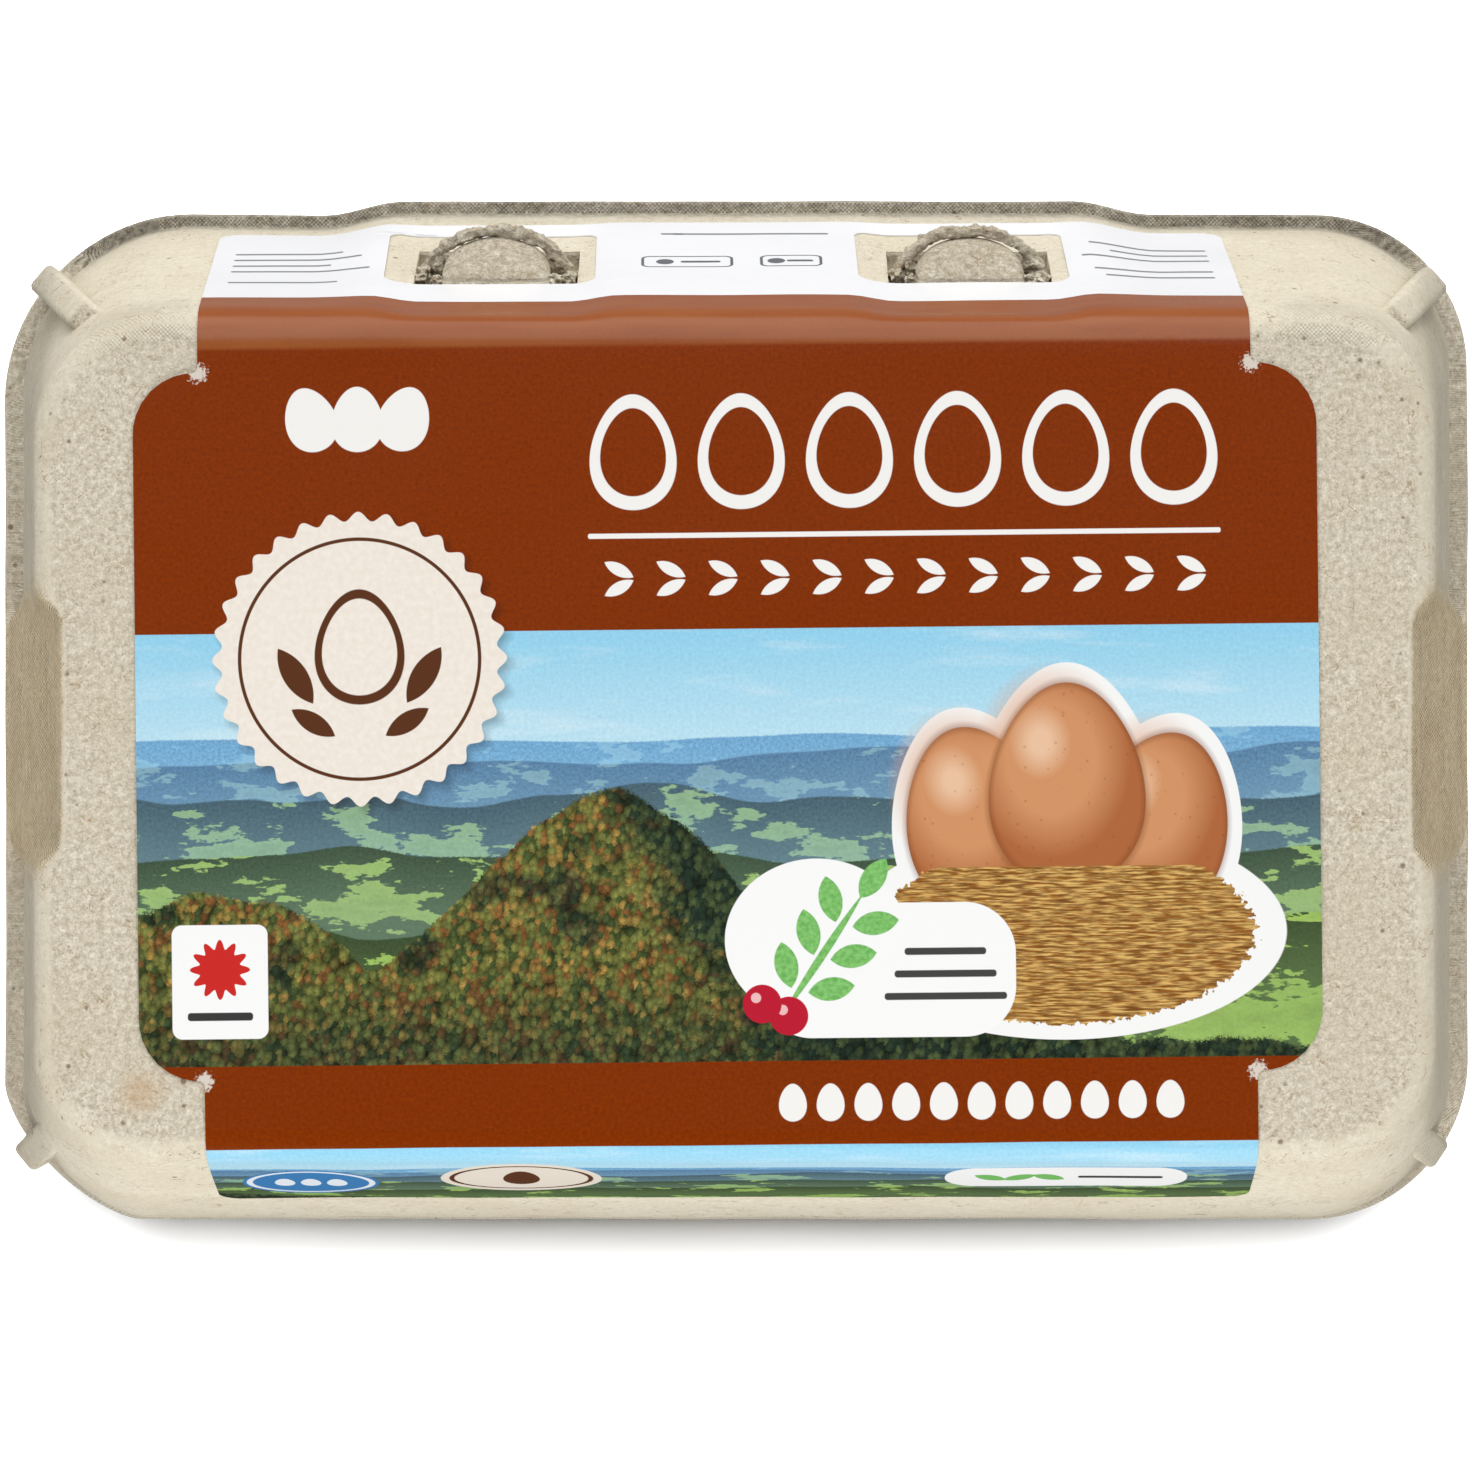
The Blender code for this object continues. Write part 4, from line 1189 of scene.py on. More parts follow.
def pulp_material():
    """Moulded pulp: mottled grey-beige, rough and flecked on top, pressed with a wire mesh lower down, with
    painted shade towards the rim at the hinge and the latches.
    """
    shader = Shader("pulp")
    place = shader.place()
    x, y, z = shader.parts(place)
    normal = shader.node("ShaderNodeNewGeometry").outputs["Normal"]
    normal_x, normal_y, normal_z = shader.parts(normal)
    # Torn pulp stands out of the latch wall beside and on the noses
    wall = z * WALL_SLOPE + WALL_START
    beside = (x - LATCH_CENTERS[0] + FOOTPRINT_MIDDLE.x).size()
    beside = beside.at_most((x - LATCH_CENTERS[1] + FOOTPRINT_MIDDLE.x).size())
    torn = (beside - SLOT_HALF_WIDTH).within(0.0002) * (z - TORN_MIDDLE).size().ramp(0.0062, 0.0057)
    torn = torn * (y + FOOTPRINT_MIDDLE.y - wall).size().ramp(0.0001, 0.0004) * y.ramp(0.0300, 0.0310)
    flat = normal_z.ramp(0.93, 0.985).at_least(torn)
    clouds = shader.noise(place, 110, 3.0)
    mottle = shader.noise(place, 1500, 4.0, 0.75)
    grain = shader.noise(place, 4200, 2.0, 0.75)
    rough = shader.mix(mottle.ramp(0.36, 0.66), (190, 178, 155), (236, 228, 211))
    even = shader.mix(mottle.ramp(0.30, 0.70), (210, 200, 178), (231, 223, 204))
    color = shader.mix(flat, even, rough)
    color = shader.mix(clouds.ramp(0.42, 0.72) * 0.4, color, (207, 194, 168))
    tears = shader.noise(place, 1300, 4.0, 0.75)
    color = shader.mix(torn * tears.ramp(0.60, 0.42) * 0.36, color, (150, 132, 104))
    color = shader.scaled(color, grain.ramp(0.25, 0.75) * (flat * 0.26 + 0.16) + (flat * -0.13 + 0.92))

    # Fine brown hairs felted into the surface, where curling lines pass through scattered patches
    curls = shader.noise(place, 520, 1.0, 0.5, 2.2)
    tufts = shader.noise(place, 330, 2.0).ramp(0.52, 0.60)
    hairs = (curls - 0.5).size().ramp(0.020, 0.006) * tufts
    color = shader.mix(hairs * 0.7, color, (166, 138, 104))
    stain_x, stain_y, stain_reach = STAIN
    stain = ((x - stain_x) ** 2.0 + (y - stain_y) ** 2.0).math("SQRT") + clouds * 0.003
    color = shader.mix(stain.ramp(stain_reach, stain_reach * 0.5) * 0.45, color, (192, 152, 104))

    # Flecks of coloured paper and bark
    for scale, share, width, tint, strength in FLECKS:
        distance, chance, shade = shader.cells(place, scale)
        chosen = (chance + torn * 0.25).ramp(1.0 - share, 1.0 - share * 0.9)
        fleck = (distance - shade * width).within(width * 0.5) * chosen
        color = shader.mix(fleck * strength, color, tint)

    # The wire mesh of the mould shows in the finger notches, on the rims and towards the foot of the walls
    facing_side = (normal_x.size() - normal_y.size()).ramp(-0.1, 0.1)
    along = x + (y - x) * facing_side
    in_notch = ((y - NOTCH_MIDDLE + FOOTPRINT_MIDDLE.y).size() - NOTCH_HALF - NOTCH_RAMP).within(0.003)
    in_notch = in_notch * x.size().ramp(0.0655, 0.0665) * normal_z.ramp(0.85, 0.55) * z.ramp(0.0310, 0.0318)
    upward = z + (y - z) * normal_z.size().ramp(0.75, 0.85)
    across = (upward * WIRE_TURNS).sine()
    across = across + ((x * WIRE_TURNS).sine() - across) * in_notch.ramp(0.4, 0.6)
    wires = (along * WIRE_TURNS).sine() * across
    low = z.ramp(0.0400, 0.0345).at_least(x.size().ramp(0.0680, 0.0700) * normal_z.ramp(0.7, 0.4))
    patches = shader.noise(place, 60, 2.0).ramp(0.45, 0.60)
    shoulder = y.ramp(0.0325, 0.0375) * x.size().ramp(0.0510, 0.0550) * z.ramp(0.0600, 0.0660)
    meshed = in_notch.at_least(low).at_least(patches * normal_z.ramp(0.9, 0.6) * 0.35)
    meshed = meshed.at_least(shoulder * 0.8) * (torn * -1.0 + 1.0)
    pits = wires.ramp(-0.1, -0.8) * shader.noise(place, 210, 2.0).ramp(0.44, 0.58)
    color = shader.scaled(color, wires * meshed * 0.14 + pits * in_notch * -0.50 + (meshed * -0.02 + 1.0))
    color = shader.mix(in_notch * 0.36, color, (197, 164, 98))
    color = shader.scaled(color, in_notch * (mottle - 0.5) * 1.1 + 1.0)

    # Painted shade: the walls are darker towards the rim at the hinge, and the rim in front of the latches
    # is greyer still, in mottled patches
    foot = z.ramp(0.0560, 0.0360) * y.ramp(-0.0440, -0.0490)
    color = shader.scaled(color, foot * -0.24 + 1.0)
    # painted shade along the rim in front of the latches, mottled by noise
    rim = z.ramp(0.0354, 0.0338) * y.ramp(0.0455, 0.0475)
    rim_shade_mottle = clouds.ramp(0.1, 0.9) * 0.5 + tears.ramp(0.3, 0.7) * 0.5
    color = shader.scaled(color, rim * rim_shade_mottle * -0.95 + 1.0)

    pressed = in_notch.at_least(low).at_least(shoulder * 0.8) * (torn * -1.0 + 1.0)
    height = mottle * (flat * 0.45 + torn * 1.2 + 0.22) + grain * (flat * 0.35 + 0.17)
    shader.bump(height + wires * pressed * 0.30, PULP_RELIEF, 1.0)
    return shader.finish(color, 0.95, 0.12)


def inked(distance, soft, share):
    """How strongly ink covers a point at a distance outside a shape."""
    return (distance / soft * -1.0 + 0.5).math("MAXIMUM", 0.0).at_most(1.0) * share


def oval_distance(across, up, cos, sin, half_width, half_height, taper):
    """About how far a point lies outside a turned ellipse or egg."""
    along = (up * cos - across * sin) / half_height
    aside = (across * cos + up * sin) / half_width / (along * taper * -1.0 + 1.0)
    return ((aside * aside + along * along).math("SQRT") - 1.0) * half_width.at_most(half_height)


def box_distance(across, up, half_width, half_height, radius):
    """How far a point lies outside a rounded box."""
    beside = across.size() - half_width + radius
    above = up.size() - half_height + radius
    outside = beside.at_least(0.0) ** 2.0 + above.at_least(0.0) ** 2.0
    return outside.math("SQRT") + beside.at_least(above).at_most(0.0) - radius


def leaf_distance(across, up, cos, sin, radius, spread):
    """How far a point lies outside a turned pointed leaf, where two circles overlap."""
    side = (across * cos + up * sin).size() + spread
    along = up * cos - across * sin
    return (side * side + along * along).math("SQRT") - radius


class Print:
    """A drawing in inks on a flat sheet. Shapes are signed distances in millimetres, below 0 inside."""

    def __init__(self, shader, u, v, color, grain=None):
        self.shader, self.u, self.v = shader, u, v
        self.color = color
        self.grain = grain

    def ink(self, shape, color, share=1.0, soft=0.07):
        """Prints a shape in a colour, or in a share of it."""
        self.color = self.shader.mix(self.shader.grouped(inked, shape, soft, share), self.color, color)

    def turned(self, u, v, degrees):
        """Coordinates round a point, and the cosine and sine by which a shape there is turned."""
        return self.u - u, self.v - v, math.cos(math.radians(degrees)), math.sin(math.radians(degrees))

    def oval(self, u, v, half_width, half_height, degrees=0.0, taper=0.0):
        """An ellipse, or an egg if it tapers towards its top."""
        place = self.turned(u, v, degrees)
        return self.shader.grouped(oval_distance, *place, half_width, half_height, taper)

    def box(self, u, v, half_width, half_height, radius):
        return self.shader.grouped(box_distance, self.u - u, self.v - v, half_width, half_height, radius)

    def leaf(self, u, v, length, width, degrees):
        radius = (length * length + width * width) / (4 * width)
        place = self.turned(u, v, degrees)
        return self.shader.grouped(leaf_distance, *place, radius, radius - width / 2)

    def scalloped(self, u, v, radius, depth, count):
        """A disc with a wavy edge."""
        across, up = self.u - u, self.v - v
        wave = (up.math("ARCTAN2", across) * count).math("COSINE")
        return (across * across + up * up).math("SQRT") - radius - wave * depth

    def repeated(self, start, pitch, count):
        """The same print with a stretch of it along u repeated."""
        turns = ((self.u - start) / pitch).math("ROUND").at_least(0.0).at_most(count - 1.0)
        return self.u - turns * pitch


def outline(shape, width):
    """A line of a width along a shape's edge."""
    return shape.size() - width / 2


def ridge(shader, u, leafage, seed, middle, relief, length):
    """The height of a hill's skyline along u."""
    broad = shader.noise(shader.vector(u / length, seed), 1.0, 1.5)
    return broad * (2 * relief) + leafage * 0.5 + (middle - relief - 0.25)


def landscape(drawing, bottom, height, shift):
    """Sky, hills one behind another and an autumn wood, between a bottom and a height on the sheet."""
    shader = drawing.shader
    u = drawing.u + shift
    rise = drawing.v - bottom
    up = rise / height
    spot = shader.vector(u, drawing.v)
    sky = shader.mix(up.ramp(0.66, 0.98), (200, 232, 243), (150, 211, 238))
    wisps = shader.noise(shader.vector(u * 0.05, drawing.v * 0.32), 1.0, 5.0, 0.6)
    color = shader.mix(wisps.ramp(0.52, 0.80) * 0.6, sky, (236, 246, 250))
    clumps = shader.noise(shader.vector(u * 0.13, drawing.v * 0.34), 1.0, 4.0, 0.62)
    leafage = shader.noise(spot, 3.2, 3.0, 0.8)
    for seed, middle, relief, length, haze, meadow, wood in HILLS:
        top = ridge(shader, u, leafage, seed, height * middle, height * relief, length)
        trees = (clumps + leafage * 0.06 + (top - rise) * -0.012).ramp(0.44, 0.46)
        tone = shader.scaled(meadow, clumps * 1.4 + leafage * 0.25 + 0.3)
        tone = shader.mix(trees, tone, shader.scaled(wood, leafage * 1.5 + 0.25))
        tone = shader.mix((top - rise).ramp(0.0, height * 0.16) * 0.40, tone, haze)
        color = shader.mix((rise - top).within(0.12), color, tone)

    # The near wood: a lit slope and one in shade on either side of a spine that runs down from its peak
    distance, chance, shade = shader.cells(
        shader.vector(u + leafage * 0.7, drawing.v * 0.8 + leafage * 0.9), 1.6
    )
    tree = (distance * -1.1 + 1.30) * (leafage * 1.7 + 0.1)
    groves = shader.noise(spot, 0.17, 3.0)
    near_crowns = shader.mix(chance.ramp(0.20, 0.60), (72, 86, 46), (124, 126, 64))
    rust = shader.mix(chance.ramp(0.4, 0.7), (142, 92, 50), (176, 140, 72))
    near_crowns = shader.mix((shade + groves - 0.5).ramp(0.60, 0.72) * 0.8, near_crowns, rust)
    dark_crowns = shader.mix(chance.ramp(0.30, 0.70), (36, 52, 40), (70, 84, 52))
    spine = (u - WOOD_MIDDLE) + (rise - height * 0.62) * 0.55 + clumps * 18.0 - 9.0
    shaded = spine.ramp(-2.0, 3.0).at_least(groves.ramp(0.55, 0.62) * 0.8)
    shaded = shaded.at_least(rise.ramp(9.0, 2.0) * 0.7)
    crowns = shader.mix(shaded, near_crowns, dark_crowns)
    crowns = shader.scaled(crowns, tree * (clumps * 1.2 + 0.5))
    slope = ((u - WOOD_MIDDLE) / WOOD_WIDTH).size() ** 1.5
    second = ((u - SECOND_WOOD_MIDDLE) / SECOND_WOOD_WIDTH) ** 2.0
    wood_top = (slope * -1.0).math("EXPONENT") * (height * 0.62)
    wood_top = wood_top.at_least((second * -1.0).math("EXPONENT") * (height * 0.38))
    wood_top = wood_top + ridge(shader, u, leafage, 55.0, height * 0.03, height * 0.06, 9.0)
    wood_top = wood_top + leafage * 1.6 - 0.8
    return shader.mix((rise - wood_top).within(0.20), color, crowns)


def straw(drawing):
    """The colour of a nest of straw."""
    shader = drawing.shader
    first = shader.noise(shader.vector(drawing.u * 0.5 + drawing.v * 0.9, drawing.v * 4.0), 1.0, 2.0)
    second = shader.noise(shader.vector(drawing.u * 0.5 - drawing.v * 1.1, drawing.v * 5.0), 1.0, 2.0)
    light = shader.mix(first.ramp(0.4, 0.6), (150, 96, 40), (226, 184, 108))
    return shader.mix(second.ramp(0.46, 0.58) * 0.6, light, (96, 58, 24))


def eggs_in_nest(drawing):
    """Three brown eggs in a nest, cut out with a white edge, where the print shows its main motif."""
    eggs = [drawing.oval(*place, taper=EGG_TAPER) for place in NEST_EGGS]
    nest = drawing.oval(*NEST)
    shape = nest
    for egg in eggs:
        shape = shape.at_most(egg)
    drawing.ink(shape - CUT_OUT_EDGE, (248, 248, 246))
    pores, chance, _ = drawing.shader.cells(drawing.shader.vector(drawing.u, drawing.v), 1.3)
    pores = (pores - 0.16).within(0.16) * chance.ramp(0.55, 0.75)
    for (u, v, width, height, degrees), egg in zip(NEST_EGGS, eggs):
        drawing.ink(egg, (176, 104, 60))
        light = drawing.oval(u - width * 0.2, v + height * 0.25, width * 0.80, height * 0.76, degrees)
        drawing.ink(light, (220, 158, 110), 0.8, 3.4)
        gleam = drawing.oval(u - width * 0.34, v + height * 0.42, width * 0.26, height * 0.24, degrees)
        drawing.ink(gleam, (246, 212, 180), 0.7, 2.2)
        drawing.color = drawing.shader.mix(egg.within(0.3) * pores * 0.35, drawing.color, (128, 70, 38))
        drawing.ink(outline(egg, 0.5), (120, 62, 30), 0.5, 0.6)
    rough = drawing.shader.noise(drawing.shader.vector(drawing.u * 1.6, drawing.v * 1.6), 1.0, 2.0) - 0.5
    rim = (nest + rough * 1.5).at_least(drawing.v - NEST_RIM)
    drawing.ink(rim, straw(drawing))


def round_badge(drawing):
    """A cream disc with a wavy edge, an egg and two leaves on it."""
    u, v, radius = BADGE
    disc = drawing.scalloped(u, v, radius, 0.45, 32.0)
    shadow = drawing.scalloped(u + 0.5, v - 0.6, radius, 0.45, 32.0)
    drawing.ink(shadow, (30, 20, 12), 0.45, 1.4)
    fibre = drawing.shader.noise(drawing.shader.vector(drawing.u, drawing.v), 1.6, 3.0)
    cream = drawing.shader.mix(fibre, (232, 219, 204), (252, 246, 238))
    drawing.ink(disc, cream)
    ring = drawing.oval(u, v, radius * 0.84, radius * 0.84)
    drawing.ink(outline(ring, 0.35), BADGE_INK)
    drawing.ink(outline(drawing.oval(u, v + 1.2, 4.0, 5.2, taper=EGG_TAPER), 0.7), BADGE_INK)
    for side in (-1, 1):
        drawing.ink(drawing.leaf(u + side * 6.3, v - 1.6, 6.4, 2.4, side * -32.0), BADGE_INK)
        drawing.ink(drawing.leaf(u + side * 4.6, v - 6.2, 5.0, 1.9, side * -58.0), BADGE_INK)


def sprig_patch(drawing):
    """A white patch with green leaves and two red berries."""
    u, v = SPRIG
    blob = drawing.box(u, v, 12.5, 6.6, 5.0).at_most(drawing.oval(u - 7.0, v + 3.0, 9.0, 8.0))
    drawing.ink(blob, PATCH_WHITE)
    grain = drawing.shader.noise(drawing.shader.vector(drawing.u, drawing.v), 2.2, 2.0)
    green = drawing.shader.mix(grain.ramp(0.35, 0.65), (110, 178, 92), (140, 204, 118))
    drawing.ink(drawing.leaf(u - 6.4, v + 1.6, 15.0, 0.8, SPRIG_TURN), green)
    for place in SPRIG_LEAVES:
        drawing.ink(drawing.leaf(u + place[0], v + place[1], 4.6, 2.3, place[2]), green)
    for place in SPRIG_BERRIES:
        drawing.ink(drawing.oval(u + place[0], v + place[1], 1.9, 1.9), (190, 30, 52))
        drawing.ink(drawing.oval(u + place[0] - 0.6, v + place[1] + 0.6, 0.5, 0.5), (240, 190, 190))
    for row in (-1, 0, 1):
        drawing.ink(drawing.box(u + 5.6, v - 0.4 + row * 2.2, 5.0 - row, 0.35, 0.3), RULE_INK)


def sun_patch(drawing):
    """A small white square with a red sun."""
    u, v = SUN
    drawing.ink(drawing.box(u, v, 4.7, 5.6, 1.0), PATCH_WHITE)
    drawing.ink(drawing.scalloped(u, v + 1.2, 2.5, 0.45, 12.0), (206, 44, 40))
    drawing.ink(drawing.box(u, v - 3.4, 3.2, 0.4, 0.3), (60, 60, 60))


def header_rows(drawing):
    """Rows of small eggs and leaves in white, in place of words."""
    row = Print(drawing.shader, drawing.repeated(*EGG_ROW[:3]), drawing.v, drawing.color)
    row.ink(outline(row.oval(EGG_ROW[0], EGG_ROW[3], 3.7, 5.0, taper=EGG_TAPER), 1.0), OFF_WHITE)
    drawing.color = row.color
    drawing.ink(drawing.box(*HEADER_RULE, 0.2), OFF_WHITE)
    row = Print(drawing.shader, drawing.repeated(*LEAF_ROW[:3]), drawing.v, drawing.color)
    for side in (-1, 1):
        row.ink(row.leaf(LEAF_ROW[0], LEAF_ROW[3] + side * 0.9, 3.2, 1.2, 90.0 - side * 28.0), OFF_WHITE)
    drawing.color = row.color


def crest(drawing):
    """Three small white eggs."""
    for shift in (-4.6, 0.0, 4.6):
        drawing.ink(drawing.oval(CREST[0] + shift, CREST[1], 2.5, 3.2, shift * -4.0, EGG_TAPER), OFF_WHITE)


def low_row(drawing):
    """A row of small white eggs below the picture."""
    row = Print(drawing.shader, drawing.repeated(*LOW_ROW[:3]), drawing.v, drawing.color)
    row.ink(row.oval(LOW_ROW[0], LOW_ROW[3], 1.35, 1.85, taper=EGG_TAPER), OFF_WHITE)
    drawing.color = row.color


def picture(drawing):
    """The wide landscape on the lid."""
    height = PICTURE_TOP - PICTURE_BOTTOM
    scenery = landscape(drawing, PICTURE_BOTTOM, height, 0.0)
    beyond = (drawing.v - (PICTURE_TOP + PICTURE_BOTTOM) / 2).size() - height / 2
    drawing.ink(beyond, drawing.shader.scaled(scenery, drawing.grain * 0.4 + 0.8))


def strip(drawing):
    """The narrow landscape on the hinge flap."""
    scenery = landscape(drawing, STRIP_BOTTOM, STRIP_TOP - STRIP_BOTTOM, STRIP_SHIFT)
    drawing.ink(drawing.v - STRIP_TOP, drawing.shader.scaled(scenery, drawing.grain * 0.4 + 0.8))


def hinge_marks(drawing):
    """What is printed over the narrow landscape on the hinge flap."""
    u, v = HINGE_BADGE
    disc = drawing.oval(u, v, 8.0, 5.0)
    drawing.ink(disc, (236, 226, 212))
    drawing.ink(outline(drawing.oval(u, v, 6.9, 4.1), 0.3), BADGE_INK)
    drawing.ink(drawing.oval(u, v, 1.8, 2.4, taper=EGG_TAPER), BADGE_INK)
    u, v = HINGE_OVAL
    drawing.ink(drawing.oval(u, v, 6.8, 4.6), (62, 128, 186))
    drawing.ink(outline(drawing.oval(u, v, 6.1, 4.0), 0.4), (235, 242, 248))
    for shift in (-2.6, 0.0, 2.6):
        drawing.ink(drawing.oval(u + shift, v, 1.0, 1.4, taper=EGG_TAPER), (235, 242, 248))
    u, v = HINGE_SPRIG
    drawing.ink(drawing.box(u, v, 12.0, 3.4, 3.2), (249, 249, 248))
    for shift, degrees in ((-7.5, 60.0), (-4.6, -60.0), (-1.7, 60.0)):
        drawing.ink(drawing.leaf(u + shift, v, 3.6, 1.8, degrees), (120, 188, 100))
    drawing.ink(drawing.box(u + 5.4, v, 4.2, 0.4, 0.3), RULE_INK)


def flap_marks(drawing):
    """The white latch flap, with plain rules and frames in grey."""
    drawing.ink(drawing.v * -1.0 + FLAP_START, (246, 246, 248))
    grey = (96, 98, 104)
    for u, v, half_width in FLAP_RULES:
        drawing.ink(drawing.box(u, v, half_width, 0.30, 0.25), grey, 0.85)
    for u, v, half_width, half_height in FLAP_FRAMES:
        drawing.ink(outline(drawing.box(u, v, half_width, half_height, 0.8), 0.3), grey)
        drawing.ink(drawing.oval(u - half_width * 0.5, v, 0.9, half_height * 0.5), grey)
        drawing.ink(drawing.box(u + half_width * 0.3, v, half_width * 0.45, 0.35, 0.3), grey)


def scuffs(drawing):
    """Scuffed paper at the four inner corners, where the flaps were bent."""
    fibre = drawing.shader.noise(drawing.shader.vector(drawing.u, drawing.v), 3.0, 3.0, 0.6)
    for corner_v in (MILLIMETRES * LABEL_WIDE_LATCH, MILLIMETRES * LABEL_WIDE_HINGE):
        corner = (drawing.u.size() - MILLIMETRES * LABEL_FLAP_HALF) ** 2.0 + (drawing.v - corner_v) ** 2.0
        drawing.ink(corner.math("SQRT") - fibre * 2.4 + 0.4, (226, 218, 206), 0.9, 0.3)


def painted_fold_sheen(drawing):
    """Painted sheen: the print made lighter and more orange over the fold at the latches, in place of light
    off the bend.
    """
    fold = drawing.v.ramp(*FOLD_EDGE) * (drawing.v * -1.0 + FLAP_START).ramp(0.0, 0.1)
    folds = drawing.shader.noise(drawing.shader.vector(drawing.u * 0.08, drawing.v * 0.5), 1.0, 2.0)
    share = fold * (folds * 0.6 + 0.36)
    # painted sheen: the fold is mixed towards a light orange brown
    drawing.color = drawing.shader.mix(share, drawing.color, (160, 92, 44))


# Fields of the print, each with a material of its own and what is drawn there from below
FIELDS = {
    "paper_header_left": (crest, round_badge, scuffs, painted_fold_sheen),
    "paper_header_right": (header_rows, scuffs, painted_fold_sheen),
    "paper_band": (low_row, scuffs),
    "paper_picture_left": (picture, sun_patch, round_badge, scuffs),
    "paper_picture_right": (picture, eggs_in_nest, sprig_patch, scuffs),
    "paper_strip": (strip, hinge_marks),
    "paper_flap": (flap_marks, painted_fold_sheen),
}


def paper_material(name, parts):
    """Satin paper printed brown, with a field's drawings over that."""
    shader = Shader(name)
    place = shader.place(PRINT_PLACE)
    u, v, _ = shader.parts(place)
    grain = shader.noise(place, 2.6, 2.0, 0.85)
    brown = shader.scaled(LABEL_BROWN, grain.ramp(0.25, 0.75) * 0.5 + 0.75)
    drawing = Print(shader, u, v, brown, grain)
    for part in parts:
        part(drawing)
    shader.bump(grain + shader.noise(place, 0.35, 0.0) * 1.5, PAPER_RELIEF, 0.6)
    return shader.finish(drawing.color, 0.22, 0.42)


def field_of(places):
    """The field that a face lies in. A face across a field's edge goes to the field that draws both."""
    lowest, highest = min(place.y for place in places), max(place.y for place in places)
    if highest > FLAP_START:
        return "paper_flap"
    if lowest < STRIP_TOP:
        return "paper_strip"
    if highest < PICTURE_BOTTOM:
        return "paper_band"
    field = "paper_header" if lowest > PICTURE_TOP else "paper_picture"
    return f"{field}_left" if places[0].x < FIELD_DIVIDE else f"{field}_right"


def print_label(label):
    """Gives the label's faces the materials of the fields that they lie in."""
    label.data.materials.clear()
    for name, parts in FIELDS.items():
        label.data.materials.append(paper_material(name, parts))
    places = label.data.attributes[PRINT_PLACE].data
    names = list(FIELDS)
    for face in label.data.polygons:
        face.material_index = names.index(field_of([places[index].vector for index in face.vertices]))


def smooth(thing, degrees):
    """Smooth shading with edges above an angle kept sharp."""
    thing.data.shade_smooth()
    thing.data.set_sharp_from_angle(angle=math.radians(degrees))


def move_to_frame(things):
    """Moves meshes from the lid's middle to the frame's origin."""
    for thing in things:
        for vertex in thing.data.vertices:
            vertex.co -= FOOTPRINT_MIDDLE


def make_camera():
    data = bpy.data.cameras.new("camera")
    data.lens = CAMERA_LENS
    data.sensor_width = SENSOR_WIDTH
    data.sensor_fit = "HORIZONTAL"
    camera = bpy.data.objects.new("camera", data)
    bpy.context.scene.collection.objects.link(camera)
    camera.location = Vector((0.0, 0.0, CAMERA_HEIGHT)) - FOOTPRINT_MIDDLE
    bpy.context.scene.camera = camera


def make_floor():
    """A white sweep. What lights the carton from below is the studio's dim lower half, not this floor."""
    bpy.ops.mesh.primitive_plane_add(size=8.0)
    floor = bpy.context.object
    floor.name = "floor"
    shader = Shader("floor")
    shader.finish((0.9, 0.9, 0.9, 1.0), 1.0, 0.0)
    floor.data.materials.append(shader.material)
    floor.visible_diffuse = False
    floor.visible_glossy = False
    return floor


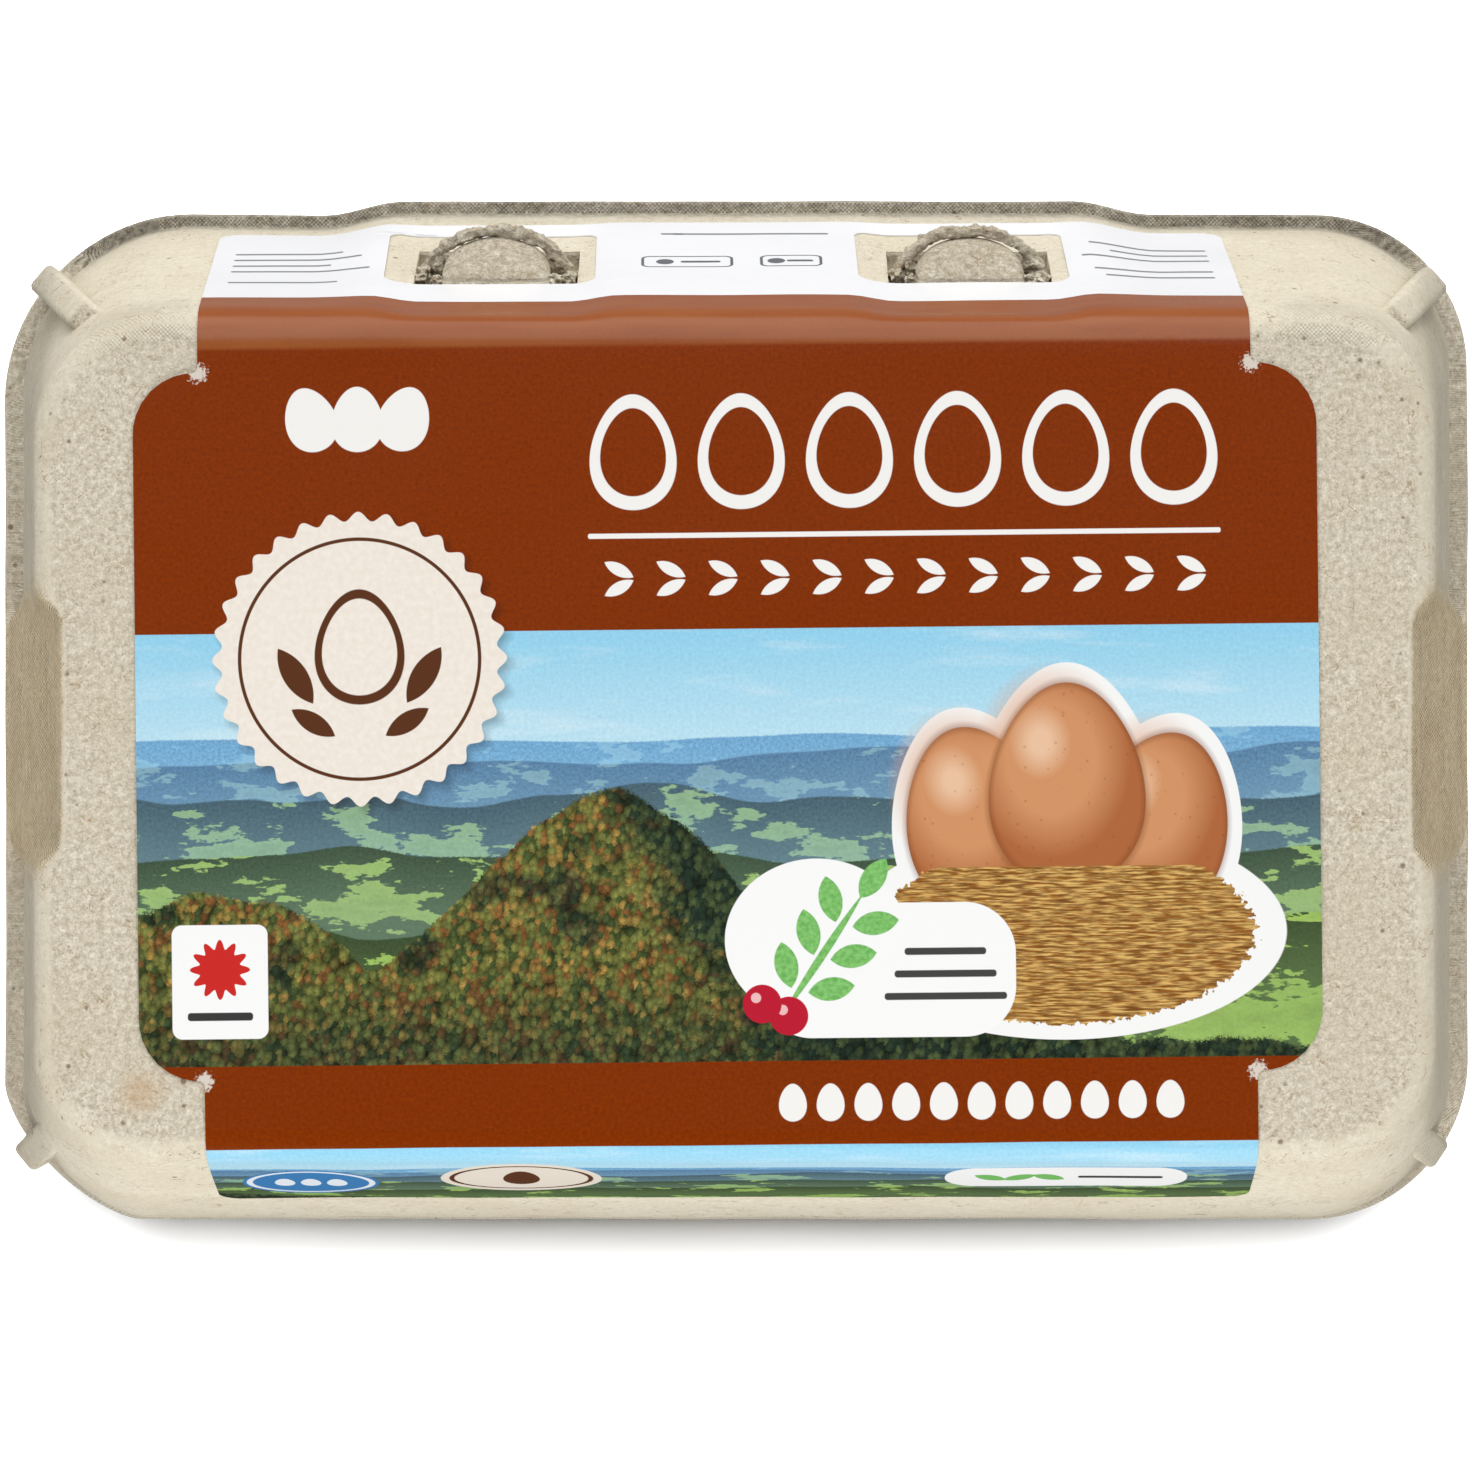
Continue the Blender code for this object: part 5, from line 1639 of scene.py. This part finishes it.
def make_studio():
    """The room's light: a wide bright bank on the latch side, little from the hinge side, dark overhead."""
    world = bpy.data.worlds.new("studio")
    bpy.context.scene.world = world
    world.use_nodes = True
    tree = world.node_tree
    background = tree.nodes["Background"]
    background.inputs["Color"].default_value = (1.0, 1.0, 1.0, 1.0)
    place = tree.nodes.new("ShaderNodeTexCoord")
    split = tree.nodes.new("ShaderNodeSeparateXYZ")
    tree.links.new(place.outputs["Generated"], split.inputs["Vector"])
    side = Number(tree, split.outputs["X"]).size()
    toward_latch = Number(tree, split.outputs["Y"]).ramp(*BANK_EDGE)
    up = Number(tree, split.outputs["Z"])
    middle_heights = up.ramp(*HORIZON_EDGE) * (up.ramp(*OVERHEAD_EDGE) * -1.0 + 1.0)
    strength = middle_heights * (toward_latch * BANK_LEVEL + side * SIDE_LEVEL)
    strength = strength + toward_latch * LOW_BANK_LEVEL + ROOM_LEVEL
    seen = tree.nodes.new("ShaderNodeLightPath")
    backdrop = Number(tree, seen.outputs["Is Camera Ray"])
    strength = strength * (backdrop * -1.0 + 1.0) + backdrop * BACKDROP_LEVEL
    tree.links.new(strength.socket, background.inputs["Strength"])


def make_lamp(name, place, size, power, floor, lights_floor):
    """A soft lamp that lights either the floor alone or all but the floor, and shows in no reflection."""
    data = bpy.data.lights.new(name, "AREA")
    data.shape = "RECTANGLE"
    data.size, data.size_y = size
    data.energy = power
    lamp = bpy.data.objects.new(name, data)
    bpy.context.scene.collection.objects.link(lamp)
    lamp.location = place
    lamp.rotation_euler = Vector(place).to_track_quat("Z", "Y").to_euler()
    lamp.visible_camera = False
    lamp.visible_glossy = False
    group = bpy.data.collections.new(f"{name}_reach")
    group.objects.link(floor)
    lamp.light_linking.receiver_collection = group
    if not lights_floor:
        group.collection_objects[0].light_linking.link_state = "EXCLUDE"
    return lamp


def main():
    bpy.context.scene.view_settings.view_transform = "Standard"
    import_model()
    make_camera()
    floor = make_floor()
    make_studio()
    make_lamp("latch_lamp", *LATCH_LAMP, floor, lights_floor=False)
    make_lamp("hinge_lamp", *HINGE_LAMP, floor, lights_floor=False)
    make_lamp("floor_lamp", *FLOOR_LAMP, floor, lights_floor=True)
    carton = make_carton()
    lips = make_torn_lips()
    label = make_label()
    fibres = make_fibres(carton, label)
    pulp = pulp_material()
    for thing in [carton, fibres] + lips:
        thing.data.materials.clear()
        thing.data.materials.append(pulp)
    print_label(label)
    smooth(carton, PANEL_SMOOTHING)
    smooth(label, PANEL_SMOOTHING)
    for thing in [fibres] + lips:
        smooth(thing, SCRAP_SMOOTHING)
    pieces = [carton, label, fibres] + lips
    move_to_frame(pieces)
    for piece in pieces:
        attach(piece, "root")
    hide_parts("carton")
    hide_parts("label")


main()
